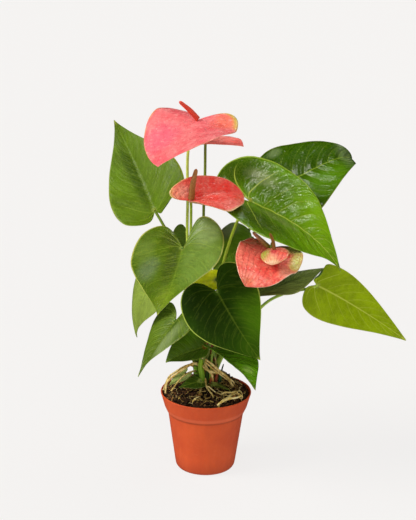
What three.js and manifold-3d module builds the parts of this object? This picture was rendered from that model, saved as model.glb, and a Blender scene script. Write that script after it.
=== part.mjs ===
// Potted anthurium: heart-shaped leaves and coral blooms on three short crowns, in a nursery pot.
// Units are millimetres, +Z up. The origin is the centre of the pot's flat underside.
// +X is to the right and -Y is towards the viewer.
import * as THREE from 'three';
import Module from 'manifold-3d';

const wasm = await Module();
wasm.setup();

// Driving dimensions of the pot
const RIM_RADIUS = 52.5;
const POT_HEIGHT = 93;
const COLLAR_RADIUS = 47.9;
const COLLAR_HEIGHT = 76.5;
const LIP_RADIUS = 45;
const LIP_HEIGHT = 70;
const BODY_RADIUS = 43.9;
const BODY_TOP = 69.4;
const SHOULDER_RADIUS = 35.3;
const FOOT_RADIUS = 31;
const WALL = 1.6;
const FLOOR_TOP = 3.4;
const POT_SIDES = 32;
const DRAIN_HOLES = 6;
const DRAIN_RADIUS = 4;
const DRAIN_RING = 25;

// Driving dimensions of the soil and the plant
const SOIL_EDGE = 90.5;
const SOIL_MOUND = 12;
const SOIL_GRAIN = 1.2;
const SOIL_GAP = 0.6;
const CLEARANCE = 0.35;
const BLADE_THICKNESS = 0.8;
const SPATHE_THICKNESS = 0.9;
const PETIOLE_RADIUS = 1.6;
const PEDUNCLE_RADIUS = 1.5;

// Outline of one half of a blade: x along the midrib from the stalk to the tip, y out to the margin
const LEAF_OUTLINE = [
  [0, 0], [-0.09, 0.1], [-0.18, 0.22], [-0.25, 0.42], [-0.235, 0.65], [-0.13, 0.87], [0.06, 1],
  [0.25, 0.98], [0.45, 0.8], [0.62, 0.56], [0.77, 0.32], [0.89, 0.14], [0.95, 0.06], [1, 0],
];
const SPATHE_OUTLINE = [
  [0, 0], [-0.1, 0.1], [-0.2, 0.24], [-0.27, 0.44], [-0.26, 0.68], [-0.15, 0.89], [0.04, 1],
  [0.25, 0.98], [0.46, 0.84], [0.66, 0.6], [0.82, 0.34], [0.92, 0.15], [0.97, 0.05], [1, 0],
];

// Crowns: foot and top of each short stem, with its radius at the soil
const CROWNS = [
  { name: 'crown_left', foot: [-11, 6, 70], top: [-11, 6, 150], radius: 4.6, colour: 0x6f7a2c },
  { name: 'crown_centre', foot: [-1, -4, 70], top: [-2, -4, 139], radius: 4.4, colour: 0x7d6a35 },
  { name: 'crown_right', foot: [10, 5, 70], top: [10, 5, 141], radius: 4.4, colour: 0x6a5f30 },
];

// Leaves. at: where the stalk meets the blade; az, pitch, roll: how the blade is turned, in degrees.
// half: width of each half, left then right; bend droops the midrib and fold lifts both halves.
// curl turns the margins down and lobe tips the lobes, left then right; full fills out the end.
// crown: the stem it grows from.
const LEAVES = [
  {
    name: 'leaf_upper_left', crown: 0, at: [-60, 15, 304], az: 111, pitch: 30, roll: -37.5,
    length: 138, width: 111, half: [0.81, 0.96], bend: -25, fold: [31, 31], curl: [11, 21],
    lobe: [-48, -68], twist: 0, wave: 1.9, phase: 0.23, colour: 0x2f5f1c,
    stalk: [[-11, 6, 138], [-16, 17, 162], [-27, 32, 222], [-41, 34, 262], [-52, 21.5, 288]],
  },
  {
    name: 'leaf_centre_left', crown: 0, at: [-27, -50, 279], az: -97, pitch: -15.5, roll: 17,
    length: 147, width: 110, half: [0.91, 0.95], bend: -14.5, fold: [19, 19], curl: [41, -5],
    full: 1.1, lobe: [-55, -22], twist: -2, wave: 2.6, phase: 0.11, colour: 0x4c7f2a,
    stalk: [[-11, 6, 132], [-14, -4, 152], [-21, -24, 215], [-26, -43, 266]],
  },
  {
    name: 'leaf_front_centre', crown: 1, at: [11, -60, 234], az: -46, pitch: -47, roll: 61,
    length: 88.5, width: 89.5, half: [0.99, 1.06], bend: 29, fold: [13.5, 13.5], curl: [16, 16.5],
    lobe: [-12.5, -2], twist: -4, wave: 0.8, phase: 0.1, colour: 0x24501a,
    stalk: [[-1.5, -5, 131], [3, -13, 151], [6, -34, 195], [9, -52, 226]],
  },
  {
    name: 'leaf_upper_right', crown: 2, at: [45.9, -1.8, 320.3], az: -1, pitch: -22.5, roll: 8.5,
    length: 136.5, width: 141, half: [1.05, 1.05], bend: 39, fold: [16.5, 6.5], curl: [-8, 6.5],
    full: 1.33, lobe: [68, 12], twist: 21, wave: 2.8, phase: 0.37, colour: 0x3f7a22,
    stalk: [[9, 4, 139], [8, -4, 160], [15, -17, 240], [31, -19, 299]],
  },
  {
    name: 'leaf_back_right', crown: 2, at: [70.4, 78.1, 310.4], az: 6.5, pitch: 28, roll: 40,
    length: 124, width: 117, half: [1.05, 0.97], bend: 137, power: 6, fold: [1.5, 10.5],
    curl: [30.5, 16], full: 0.85, lobe: [-8, -8], twist: 7.5, wave: 4.8, phase: -0.1, colour: 0x335f24,
    stalk: [[10, 5, 134], [12, 16, 155], [25, 35, 206], [45, 58, 262], [61, 74, 298]],
  },
  {
    name: 'leaf_lower_right', crown: 2, at: [126, 22, 215.6], az: 44, pitch: -29.5, roll: 107.5,
    length: 145, width: 82, half: [0.76, 0.86], bend: -66, fold: [15.5, 26], curl: [28.5, 0.5],
    full: 0.83, lobe: [-70, -41.5], twist: -4.5, wave: 1.3, phase: -0.15, colour: 0x6d8a2c,
    stalk: [[10, 5, 113], [23, 8, 140], [60, 3, 193], [86, 8, 209], [118, 16, 214]],
  },
  {
    name: 'leaf_edge_right', crown: 2, at: [49, -5, 211], az: 34, pitch: 9, roll: -14,
    length: 110, width: 116, half: [0.6, 1], bend: 2, fold: [11, 11], curl: [18, 18],
    lobes: 0.5, lobe: [-8, -12], twist: 9, wave: 2, phase: 0.03, colour: 0x2b5220,
    stalk: [[10, 5, 123], [20, -2, 145], [34, -6, 182], [45, -6, 204]],
  },
  {
    name: 'leaf_behind_right', crown: 2, at: [50.7, 30, 268.5], az: -133, pitch: -18.5, roll: -27,
    length: 69, width: 68, half: [1.02, 0.98], bend: 11, fold: [7.5, 7.5], curl: [17, 18.5],
    lobes: 0.4, lobe: [-8, -8], twist: -4, wave: 0.7, phase: 0.07, colour: 0x23461b,
    stalk: [[10, 5, 126], [18, 12, 144], [36, 34, 205], [49, 33, 258]],
  },
  {
    name: 'leaf_behind_left', crown: 0, at: [-21, 27.2, 269], az: -100, pitch: -75, roll: 0,
    length: 60, width: 42, half: [1, 1], bend: 18, fold: [9, 9], curl: [15, 15],
    lobe: [-8, -8], twist: 0, wave: 0.8, phase: 0.2, colour: 0x23461b,
    stalk: [[-11, 6, 129], [-8, 17, 150], [-13, 32, 215], [-21, 31, 261]],
  },
  {
    name: 'leaf_far_left', crown: 0, at: [-53.8, 19, 234.5], az: 176.5, pitch: -56, roll: -20.5,
    length: 96, width: 94.5, half: [1.05, 1.01], bend: 43, fold: [9.5, 10], curl: [22.5, 22],
    full: 0.85, lobe: [-8, -8], twist: -1.5, wave: 1.5, phase: 0.25, colour: 0x587f3c,
    stalk: [[-11, 6, 126], [-19, 9, 146], [-22, 15, 200], [-33, 23, 226], [-48, 24, 235]],
  },
  {
    name: 'leaf_lower_left', crown: 0, at: [-34.8, -32, 190], az: -142, pitch: -44.5, roll: 11,
    length: 75.5, width: 68, half: [1.07, 1.04], bend: 5, fold: [14, 14], curl: [32, 14],
    lobe: [-20, -50], twist: 20, wave: 0.6, phase: -0.22, colour: 0x4b7d2b,
    stalk: [[-11, 6, 121], [-17, 1, 136], [-22, -3, 163], [-26, -14, 182]],
  },
  {
    name: 'leaf_low_left', crown: 1, at: [-1, -36, 161], az: 166.5, pitch: -21, roll: -44.5,
    length: 57, width: 50.5, half: [0.62, 1.24], bend: 28, fold: [21.5, 21.5], curl: [14, 13],
    lobes: 0.3, lobe: [-14, -8], twist: -9, wave: 1, phase: -0.26, colour: 0x2a4f1c,
    stalk: [[-2, -4, 128], [-2.5, -14, 136], [-1.5, -29, 153]],
  },
  {
    name: 'leaf_low_right', crown: 2, at: [7.6, -40, 160], az: -56, pitch: -2, roll: -17.5,
    length: 90, width: 81, half: [1.01, 0.5], bend: 23.5, fold: [18, 18], curl: [13, 11],
    lobes: 0.3, lobe: [-8, -8], twist: 1, wave: 1.4, phase: 0.22, colour: 0x346b1f,
    stalk: [[10, 4, 133], [10, -8, 139], [8, -32, 152]],
  },
  {
    name: 'leaf_young', crown: 1, at: [9.5, -30, 237.5], az: 176, pitch: -6, roll: -55,
    length: 34, width: 24, half: [1, 1], bend: 12, fold: [10, 10], curl: [10, 10],
    lobe: [-8, -8], twist: 0, wave: 0.4, phase: 0, colour: 0x9aa82a,
    stalk: [[-3.5, -3.5, 138], [-6, -7, 165], [5, -22, 215], [10.5, -28, 231]],
  },
];

// Small leaves close over the soil, each with a short stalk of its own
const SMALL_LEAVES = [
  {
    name: 'leaf_soil_front', at: [-6, -15, 110.5], az: 201, pitch: -6, roll: -22,
    length: 27, width: 21, half: [1, 1], bend: 10, fold: [9, 9], curl: [10, 10], lobes: 0.4,
    lobe: [0, 0], twist: 0, wave: 0.4, phase: 0, colour: 0x35622a,
    stalk: [[-1, -10.5, 96], [-1.5, -11.5, 106]],
  },
  {
    name: 'leaf_soil_left', at: [-24, 0, 114], az: 215, pitch: -22, roll: -20,
    length: 25, width: 16, half: [1, 1], bend: 8, fold: [8, 8], curl: [10, 10],
    lobe: [0, 0], twist: 0, wave: 0.3, phase: 0.3, colour: 0x4d7440,
    stalk: [[-19, 5, 96], [-20, 3.5, 108]],
  },
  {
    name: 'leaf_soil_right', at: [9, -15, 107], az: -24, pitch: -6, roll: 12,
    length: 21, width: 9, half: [1, 1], bend: 14, fold: [8, 8], curl: [10, 10],
    lobe: [0, 0], twist: 0, wave: 0.2, phase: 0, colour: 0x365a33,
    stalk: [[5.5, -11.5, 95], [6.5, -13, 104]],
  },
  {
    name: 'leaf_soil_bud', at: [16, -1, 107], az: 60, pitch: 78, roll: 20,
    length: 11, width: 6, half: [1, 1], bend: -10, fold: [24, 24], curl: [-10, -10], lobes: 0.3,
    lobe: [0, 0], twist: 0, wave: 0.1, phase: 0, colour: 0x4a7050,
    stalk: [[16, -2, 96], [16, -1.6, 102]],
  },
];

// Blooms: the spathe is laid out like a leaf; spadix lists its axis, base first, with radii
const BLOOMS = [
  {
    name: 'bloom_top', crown: 0, at: [-12.7, -24.2, 414.7], az: -112.5, pitch: -12, roll: -5.5,
    length: 103.5, width: 95.5, half: [0.96, 1], bend: 12, fold: [1, 4.5], curl: [8.5, -2],
    full: 0.8, lobe: [-1, 31.5], twist: 27.5, wave: 1.6, phase: -0.3, colour: 0xd9525a,
    spadix: [[-12.2, -25.5, 416.4], [-20.5, -27.5, 425.8], [-32, -30, 436]], thick: [2.8, 2.6, 1.6],
    spadixColour: 0xc23a2c, stalkColour: 0x8fae3c,
    stalk: [
      [-12.5, 4.5, 148], [-17.5, 0, 200], [-22.8, -1, 274],
      [-22.8, -1, 321], [-23, -7, 372], [-18, -20, 402],
    ],
  },
  {
    name: 'bloom_rear', crown: 1, at: [-3.5, 15, 384], az: -41, pitch: 8, roll: 0,
    length: 54.5, width: 57, half: [0.99, 1], bend: 14, fold: [8, 8], curl: [14, 14],
    lobe: [-10, -10], twist: 1, wave: 0.6, phase: 0.09, colour: 0xc23a44,
    spadix: [[-3.5, 15.5, 386], [-4, 18, 396], [-5, 20, 406]], thick: [2.4, 2.2, 1.4],
    spadixColour: 0xb5402c, stalkColour: 0x5d6a2a,
    stalk: [[-1, -3, 132], [0, 4, 150], [-3, 9, 220], [-5, 12, 299], [-4, 14, 345], [-4, 15, 376]],
  },
  {
    name: 'bloom_middle', crown: 0, at: [-18.6, -52.8, 333.5], az: 41, pitch: 6, roll: 14,
    length: 79, width: 75, half: [0.64, 1.19], bend: 25, fold: [43, 19.5], curl: [7, 10],
    full: 0.91, lobe: [-0.5, -60.5], twist: 25.5, wave: 2, phase: 0.08, colour: 0xd5485a,
    spadix: [[-18, -53.5, 335.5], [-16.5, -55, 352], [-13, -56, 369]], thick: [3, 2.6, 1.7],
    spadixColour: 0x9c6a44, stalkColour: 0x7d9a34,
    stalk: [
      [-10.5, 7, 143], [-6.5, 12, 163], [-13, 12, 215],
      [-18.8, 4, 268], [-18.8, -12, 298], [-18.5, -36, 322],
    ],
  },
  {
    name: 'bloom_right', crown: 1, at: [66.2, -49.9, 280.2], az: -107.5, pitch: -5, roll: -18.5,
    length: 78, width: 66.5, half: [1.18, 0.91], bend: 26, fold: [5.5, 4], curl: [7, 13],
    full: 0.62, lobe: [0, 29], twist: -11.5, wave: 3.2, phase: -0.52, colour: 0xd6455a,
    spadix: [[65.2, -51, 283], [58.4, -53.5, 290], [48, -56, 300.5]], thick: [2.4, 2.3, 1.4],
    spadixColour: 0xb4793c, stalkColour: 0x7d9a34,
    stalk: [[-2, -4, 123], [5.5, -6, 142], [17, -26, 200], [34, -36, 235], [56, -46, 264]],
  },
  {
    name: 'bloom_pale', crown: 2, at: [69.3, -78.6, 288.2], az: -97.5, pitch: -2.5, roll: 8,
    length: 26.5, width: 31.5, half: [1.13, 0.9], bend: 52.5, fold: [-4.5, -6.5], curl: [20, 26.5],
    full: 0.5, lobe: [5, -1.5], twist: -4.5, wave: 0.7, phase: -0.18, colour: 0xe0c9a0,
    spadix: [[70.4, -80.3, 288], [68.9, -81, 297.4], [65.2, -82, 306.8]], thick: [1.7, 1.6, 1.1],
    spadixColour: 0x8f7a3c, stalkColour: 0x8fa83c,
    stalk: [
      [10, 5, 133], [14, -5, 152], [21, -14, 195], [40, -27, 236], [61, -36, 258],
      [68.4, -40.5, 272], [69, -43, 283], [69.8, -58, 289.5], [69.8, -71, 289.6],
    ],
  },
];

// Aerial roots: each axis starts at the crown or in the soil
const ROOTS = [
  {
    name: 'root_left_high', radius: 1.3,
    axis: [[-12, 7, 119], [-21, 4, 122.5], [-34, -4, 118], [-43, -6, 111], [-49, -8, 96]],
  },
  {
    name: 'root_left_low', radius: 1.1,
    axis: [[-11.5, 4, 116], [-17, -5, 118], [-23, -10, 117], [-30, -14, 112], [-40, -18, 99]],
  },
  {
    name: 'root_right_high', radius: 1.7,
    axis: [
      [-2.5, -6, 127], [-2.5, -12, 127], [3, -14.5, 123.5],
      [12, -12, 120], [21, -8, 116.5], [31, -4, 100],
    ],
  },
  {
    name: 'root_front', radius: 1.2,
    axis: [
      [-1.5, -6, 113], [-0.5, -11, 110], [0.5, -18, 105.5],
      [3.5, -24, 103], [8, -30, 99], [12, -38, 88],
    ],
  },
  {
    name: 'root_front_left', radius: 1.1,
    axis: [[-2.5, -6, 106], [-5, -15, 103], [-7, -24, 101], [-10, -32, 91]],
  },
  {
    name: 'root_front_right', radius: 1.2,
    axis: [[15, -25, 92], [20, -26, 101], [29, -25, 101], [35, -23, 101], [41, -25, 90]],
  },
  {
    name: 'root_rim', radius: 1.4,
    axis: [[12.5, -43, 84], [17, -40, 95], [24, -34, 98], [30, -32, 97], [35, -30, 84]],
  },
];

// Dried sheath at the centre stem: its axis and its radius at the foot, the belly and the point
const SHEATH = { axis: [[-3, -5, 136], [-3, -11, 146], [-4, -12, 160]], thick: [1.4, 1.8, 0.6] };

const radians = (degrees) => (degrees * Math.PI) / 180;

// Smooth curve through points: count + 1 samples, evenly spaced in the parameter
function spline(points, count) {
  const last = points.length - 1;
  const before = points[0].map((v, k) => 2 * v - points[1][k]);
  const after = points[last].map((v, k) => 2 * v - points[last - 1][k]);
  const all = [before, ...points, after];
  const out = [];
  for (let step = 0; step <= count; step += 1) {
    const u = (step / count) * last;
    const i = Math.min(Math.floor(u), last - 1);
    const f = u - i;
    const [a, b, c, d] = all.slice(i, i + 4);
    const at = (k) => {
      const first = (c[k] - a[k]) * f;
      const second = (2 * a[k] - 5 * b[k] + 4 * c[k] - d[k]) * f * f;
      const third = (3 * b[k] - a[k] - 3 * c[k] + d[k]) * f * f * f;
      return 0.5 * (2 * b[k] + first + second + third);
    };
    out.push(points[0].map((_, k) => at(k)));
  }
  return out;
}

// Solid from vertices and triangles that face outwards
function toSolid(vertices, triangles) {
  const mesh = new wasm.Mesh({
    numProp: 3,
    vertProperties: new Float32Array(vertices.flat()),
    triVerts: new Uint32Array(triangles.flat()),
  });
  return new wasm.Manifold(mesh);
}

// Closed tube along a route; radiusAt gives the radius at a fraction, ring and side of the tube.
// The ends reach past the route by the amount given last.
function tube(route, segments, sides, radiusAt, past = 0) {
  const centres = spline(route, segments).map((p) => new THREE.Vector3(...p));
  const lead = centres[0].clone().sub(centres[1]).setLength(past);
  const tail = centres[segments].clone().sub(centres[segments - 1]).setLength(past);
  centres[0].add(lead);
  centres[segments].add(tail);
  const vertices = [];
  const triangles = [];
  let across = new THREE.Vector3(1, 0, 0);
  centres.forEach((centre, ring) => {
    const before = centres[Math.max(ring - 1, 0)];
    const after = centres[Math.min(ring + 1, segments)];
    const along = after.clone().sub(before).normalize();
    if (ring === 0 && Math.abs(along.x) > 0.9) {
      across = new THREE.Vector3(0, 1, 0);
    }
    across = across.clone().addScaledVector(along, -across.dot(along)).normalize();
    const other = along.clone().cross(across);
    for (let side = 0; side < sides; side += 1) {
      const angle = (side / sides) * 2 * Math.PI;
      const radius = radiusAt(ring / segments, ring, side);
      const point = centre.clone();
      point.addScaledVector(across, radius * Math.cos(angle));
      point.addScaledVector(other, radius * Math.sin(angle));
      vertices.push(point.toArray());
    }
  });
  const first = vertices.push(centres[0].toArray()) - 1;
  const final = vertices.push(centres[segments].toArray()) - 1;
  for (let side = 0; side < sides; side += 1) {
    const next = (side + 1) % sides;
    triangles.push([first, next, side]);
    triangles.push([final, segments * sides + side, segments * sides + next]);
    for (let ring = 0; ring < segments; ring += 1) {
      const low = ring * sides;
      const high = low + sides;
      triangles.push([low + side, low + next, high + next]);
      triangles.push([low + side, high + next, high + side]);
    }
  }
  return toSolid(vertices, triangles);
}

// Bent midrib: position and slope at x, from behind the stalk to the tip
function midrib(length, bend, lobe, power) {
  const back = 0.3 * length;
  const steps = 80;
  const size = (length + back) / steps;
  const slope = (x) => (x >= 0 ? -radians(bend) * (x / length) ** power : radians(lobe) * (-x / back));
  const table = [[0, 0]];
  for (let i = 1; i <= steps; i += 1) {
    const a = slope(-back + (i - 1) * size);
    const b = slope(-back + i * size);
    const [px, pz] = table[i - 1];
    const dx = ((Math.cos(a) + Math.cos(b)) / 2) * size;
    const dz = ((Math.sin(a) + Math.sin(b)) / 2) * size;
    table.push([px + dx, pz + dz]);
  }
  const look = (x) => {
    const u = Math.min(Math.max((x + back) / size, 0), steps - 1e-6);
    const i = Math.floor(u);
    const f = u - i;
    return [0, 1].map((k) => table[i][k] * (1 - f) + table[i + 1][k] * f);
  };
  const origin = look(0);
  return (x) => {
    const [px, pz] = look(x);
    return [px - origin[0], pz - origin[1], slope(x)];
  };
}

// Surface of a blade: flat coordinates (x along the midrib, y across) to a point in space
function bladeSurface(leaf) {
  const ribs = leaf.lobe.map((lobe) => midrib(leaf.length, leaf.bend, lobe, leaf.power ?? 1.5));
  const half = leaf.width / 2;
  const [az, pitch, roll] = [leaf.az, leaf.pitch, leaf.roll].map(radians);
  const ahead = new THREE.Vector3(Math.cos(az), Math.sin(az), 0);
  const along = ahead.multiplyScalar(Math.cos(pitch)).setZ(Math.sin(pitch));
  const level = new THREE.Vector3(-Math.sin(az), Math.cos(az), 0);
  const above = along.clone().cross(level);
  const across = level.clone().multiplyScalar(Math.cos(roll)).addScaledVector(above, Math.sin(roll));
  const up = above.clone().multiplyScalar(Math.cos(roll)).addScaledVector(level, -Math.sin(roll));
  return (x, y, side) => {
    const which = side > 0 ? 0 : 1;
    const [px, pz, slope] = ribs[which](x);
    const s = Math.abs(y);
    const fold = radians(leaf.fold[which]);
    const rate = radians(leaf.curl[which] || 0.06) / half;
    let wide = ((Math.sin(fold) - Math.sin(fold - rate * s)) / rate) * side;
    let high = (Math.cos(fold - rate * s) - Math.cos(fold)) / rate;
    const u = Math.min(Math.max(x / leaf.length, -0.3), 1);
    const shift = leaf.phase + (side > 0 ? 0 : 0.37);
    high += leaf.wave * Math.sin(2 * Math.PI * (1.5 * u + shift)) * (s / half) ** 2;
    const twist = radians(leaf.twist) * Math.max(u, 0);
    [wide, high] = [
      wide * Math.cos(twist) - high * Math.sin(twist),
      wide * Math.sin(twist) + high * Math.cos(twist),
    ];
    const point = new THREE.Vector3(...leaf.at);
    point.addScaledVector(along, px - high * Math.sin(slope));
    point.addScaledVector(across, wide);
    point.addScaledVector(up, pz + high * Math.cos(slope));
    return point;
  };
}

// Unit normal of a blade's surface at a flat point
function bladeNormal(surface, x, y, side) {
  const e = 0.05;
  const dx = surface(x + e, y, side).sub(surface(x - e, y, side));
  const inner = Math.max(Math.abs(y) - e, 0) * side;
  const outer = (Math.abs(y) + e) * side;
  const dy = surface(x, outer, side).sub(surface(x, inner, side)).multiplyScalar(side);
  return dx.cross(dy).normalize();
}

// Closed blade: a grid on each half between the midrib and the margin, given a thickness
function blade(leaf, outline, columns, thickness) {
  const rows = outline.length - 1;
  const surface = bladeSurface(leaf);
  const edge = spline(outline, rows);
  const firstRib = edge.findIndex(([x], i) => i > 2 && x > 0) - 1;
  const keys = new Map();
  const top = [];
  const bottom = [];
  const vertex = (side, row, column) => {
    let key = `${side} ${row} ${column}`;
    if (row === 0 || (column === 0 && row <= firstRib)) {
      key = 'stalk';
    } else if (row === rows) {
      key = 'tip';
    } else if (column === 0) {
      key = `rib ${row}`;
    }
    if (keys.has(key)) {
      return keys.get(key);
    }
    const along = Math.max((row - firstRib) / (rows - firstRib), 0);
    const rib = leaf.length * Math.sin((along * Math.PI) / 2) ** 1.15;
    const start = key === 'stalk' ? 0 : rib;
    const t = row === 0 ? 0 : column / columns;
    const reach = leaf.half[side > 0 ? 0 : 1];
    const back = edge[row][0] < 0 ? (leaf.lobes ?? 1) : 1;
    const x = start * (1 - t) + edge[row][0] * back * leaf.length * t;
    const wide = edge[row][0] > 0 ? Math.max(edge[row][1], 0) ** (leaf.full ?? 1) : edge[row][1];
    const y = ((wide * leaf.width) / 2) * reach * side * t;
    const point = surface(x, y, side);
    const normal = bladeNormal(surface, x, y, side);
    if (key === 'stalk' || key === 'tip' || key.startsWith('rib')) {
      normal.add(bladeNormal(surface, x, 0, -side)).normalize();
    }
    top.push(point.clone().addScaledVector(normal, thickness / 2).toArray());
    bottom.push(point.clone().addScaledVector(normal, -thickness / 2).toArray());
    keys.set(key, top.length - 1);
    return top.length - 1;
  };
  const faces = [];
  const add = (side, a, b, c) => {
    if (a !== b && b !== c && a !== c) {
      faces.push(side > 0 ? [a, b, c] : [a, c, b]);
    }
  };
  [1, -1].forEach((side) => {
    for (let row = 1; row < rows; row += 1) {
      for (let column = 0; column < columns; column += 1) {
        const a = vertex(side, row, column);
        const b = vertex(side, row + 1, column);
        const c = vertex(side, row + 1, column + 1);
        const d = vertex(side, row, column + 1);
        add(side, a, b, c);
        add(side, a, c, d);
      }
    }
  });
  const uses = new Map();
  faces.forEach(([a, b, c]) => {
    [[a, b], [b, c], [c, a]].forEach(([from, to]) => uses.set(`${from} ${to}`, [from, to]));
  });
  const count = top.length;
  const triangles = [];
  faces.forEach(([a, b, c]) => {
    triangles.push([a, b, c]);
    triangles.push([a + count, c + count, b + count]);
  });
  uses.forEach(([from, to]) => {
    if (!uses.has(`${to} ${from}`)) {
      triangles.push([to, from, from + count]);
      triangles.push([to, from + count, to + count]);
    }
  });
  return toSolid([...top, ...bottom], triangles);
}

// The largest body of a cut solid
function mainBody(solid) {
  const bodies = solid.decompose();
  return bodies.reduce((best, body) => (body.volume() > best.volume() ? body : best));
}

const group = new THREE.Group();

function addNode(name, solid, colour, roughness) {
  const mesh = mainBody(solid.simplify(0.02)).getMesh();
  const geometry = new THREE.BufferGeometry();
  geometry.setAttribute('position', new THREE.BufferAttribute(mesh.vertProperties, 3));
  geometry.setIndex(new THREE.BufferAttribute(mesh.triVerts, 1));
  geometry.computeVertexNormals();
  const material = new THREE.MeshStandardMaterial({ color: colour, roughness });
  const node = new THREE.Mesh(geometry, material);
  node.name = name;
  group.add(node);
}

// Pot: a turned profile, closed on itself at the axis, with drain holes at the floor's edge
function pot() {
  const inner = (radius) => radius - WALL;
  const profile = [
    [0, 0], [19, 0], [20, 1.2], [28, 1.2], [29, 0], [FOOT_RADIUS, 0], [33, 1], [34.5, 3.4],
    [SHOULDER_RADIUS, 8], [BODY_RADIUS, BODY_TOP], [LIP_RADIUS, LIP_HEIGHT],
    [COLLAR_RADIUS, COLLAR_HEIGHT], [RIM_RADIUS - 0.8, 90], [RIM_RADIUS, POT_HEIGHT - 1],
    [RIM_RADIUS - 0.3, POT_HEIGHT], [inner(RIM_RADIUS), POT_HEIGHT], [inner(RIM_RADIUS) - 0.8, 90],
    [inner(COLLAR_RADIUS), COLLAR_HEIGHT], [inner(LIP_RADIUS), LIP_HEIGHT + 0.8],
    [inner(BODY_RADIUS), BODY_TOP], [inner(SHOULDER_RADIUS), 8], [31, FLOOR_TOP], [0, FLOOR_TOP],
  ];
  const turned = wasm.Manifold.revolve([profile], POT_SIDES);
  const holes = [];
  for (let i = 0; i < DRAIN_HOLES; i += 1) {
    const angle = ((i + 0.5) / DRAIN_HOLES) * 2 * Math.PI;
    const hole = wasm.Manifold.cylinder(8, DRAIN_RADIUS, DRAIN_RADIUS, 8);
    holes.push(hole.translate([DRAIN_RING * Math.cos(angle), DRAIN_RING * Math.sin(angle), -2]));
  }
  return holes.reduce((solid, hole) => solid.subtract(hole), turned);
}

// Height of the soil: a mound, fuller at the back right, with grains
function soilHeight(x, y) {
  const r = Math.min(Math.hypot(x, y) / 50, 1);
  const bump = 9 * Math.exp(-((x - 17) ** 2 + (y - 24) ** 2) / 300);
  const lumps = Math.sin(x * 1.31 + y * 0.47) * Math.sin(y * 1.17 - x * 0.63);
  const grains = SOIL_GRAIN * (lumps + 0.6 * Math.sin(x * 2.7 - y * 2.1));
  return SOIL_EDGE + SOIL_MOUND * (1 - r * r) + bump * (1 - r ** 4) + grains * (1 - r ** 6);
}

// Soil: fills the pot, a little inside its wall
function soil() {
  const sides = 26;
  const inside = (radius) => radius - WALL - SOIL_GAP;
  const rings = [
    { r: 30, z: FLOOR_TOP + CLEARANCE }, { r: inside(SHOULDER_RADIUS), z: 8 },
    { r: inside(BODY_RADIUS), z: BODY_TOP }, { r: inside(LIP_RADIUS), z: LIP_HEIGHT + 0.8 },
    { r: inside(COLLAR_RADIUS), z: COLLAR_HEIGHT }, { r: inside(RIM_RADIUS - 1), z: SOIL_EDGE - 0.8 },
  ];
  [46, 39, 32, 24, 16, 8].forEach((r) => rings.push({ r }));
  const vertices = [];
  const triangles = [];
  rings.forEach(({ r, z }, ring) => {
    for (let side = 0; side < sides; side += 1) {
      const angle = ((side + (z === undefined && ring % 2 ? 0.5 : 0)) / sides) * 2 * Math.PI;
      const x = r * Math.cos(angle);
      const y = r * Math.sin(angle);
      vertices.push([x, y, z ?? soilHeight(x, y)]);
    }
  });
  const first = vertices.push([0, 0, FLOOR_TOP + CLEARANCE]) - 1;
  const final = vertices.push([0, 0, soilHeight(0, 0)]) - 1;
  const end = (rings.length - 1) * sides;
  for (let side = 0; side < sides; side += 1) {
    const next = (side + 1) % sides;
    triangles.push([first, next, side]);
    triangles.push([final, end + side, end + next]);
    for (let ring = 0; ring < rings.length - 1; ring += 1) {
      const low = ring * sides;
      const high = low + sides;
      triangles.push([low + side, low + next, high + next]);
      triangles.push([low + side, high + next, high + side]);
    }
  }
  return toSolid(vertices, triangles);
}

// Crown: a short stem ringed by leaf scars, rounded at its top
function crown({ foot, top, radius }, grow) {
  const rings = 14;
  return tube([foot, top], rings, 8, (f, ring) => {
    const scar = ring % 2 ? 0.35 : 0;
    const taper = radius * (1 - 0.25 * f);
    const cap = f > 0.95 ? 0.7 : 1;
    return taper * cap + scar + grow;
  }, grow);
}

// Stalk of a leaf: thicker at its base, with a swelling where it meets the blade
function petiole(leaf, radius, grow) {
  const route = [...leaf.stalk, leaf.at];
  const segments = route.length > 4 ? 11 : 9;
  const radiusAt = (f) => radius * (1 + 0.35 * (1 - f) ** 3) * (f > 0.88 ? 1.25 : 1) + grow;
  return tube(route, segments, 6, radiusAt, grow);
}

function peduncle(bloom, grow) {
  const radius = bloom.length < 40 ? 1.1 : PEDUNCLE_RADIUS;
  const radiusAt = (f) => radius * (1 + 0.2 * (1 - f) ** 2) + grow;
  return tube([...bloom.stalk, bloom.at], 13, 6, radiusAt, grow);
}

// Spadix: rows of florets as a relief of raised and sunk facets
function spadix(bloom, grow) {
  const rings = 12;
  return tube(bloom.spadix, rings, 8, (f, ring, side) => {
    const at = f * 2;
    const i = Math.min(Math.floor(at), 1);
    const thick = bloom.thick[i] + (bloom.thick[i + 1] - bloom.thick[i]) * (at - i);
    const end = f > 0.96 ? 0.55 : 1;
    const floret = (ring + side) % 2 ? 1.06 : 0.95;
    return thick * end * floret + grow;
  }, grow);
}

// Root: a plain tube that thins towards its end
function root({ axis, radius }, grow) {
  return tube(axis, 8, 5, (f) => radius * (1 - 0.25 * f) + grow, grow);
}

const crownsGrown = CROWNS.map((stem) => crown(stem, CLEARANCE));
const rootsGrown = ROOTS.map((item) => root(item, CLEARANCE));
const smallGrown = SMALL_LEAVES.map((leaf) => petiole(leaf, 0.9, CLEARANCE));

addNode('pot', pot(), 0xc4532d, 0.7);

const holes = [...crownsGrown, ...rootsGrown, ...smallGrown];
addNode('soil', holes.reduce((body, hole) => body.subtract(hole), soil()), 0x2a1a12, 1);

CROWNS.forEach((stem) => addNode(stem.name, crown(stem, 0), stem.colour, 0.7));
ROOTS.forEach((item) => {
  const cut = crownsGrown.reduce((body, stem) => body.subtract(stem), root(item, 0));
  addNode(item.name, cut, 0xb09a5a, 0.8);
});

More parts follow.
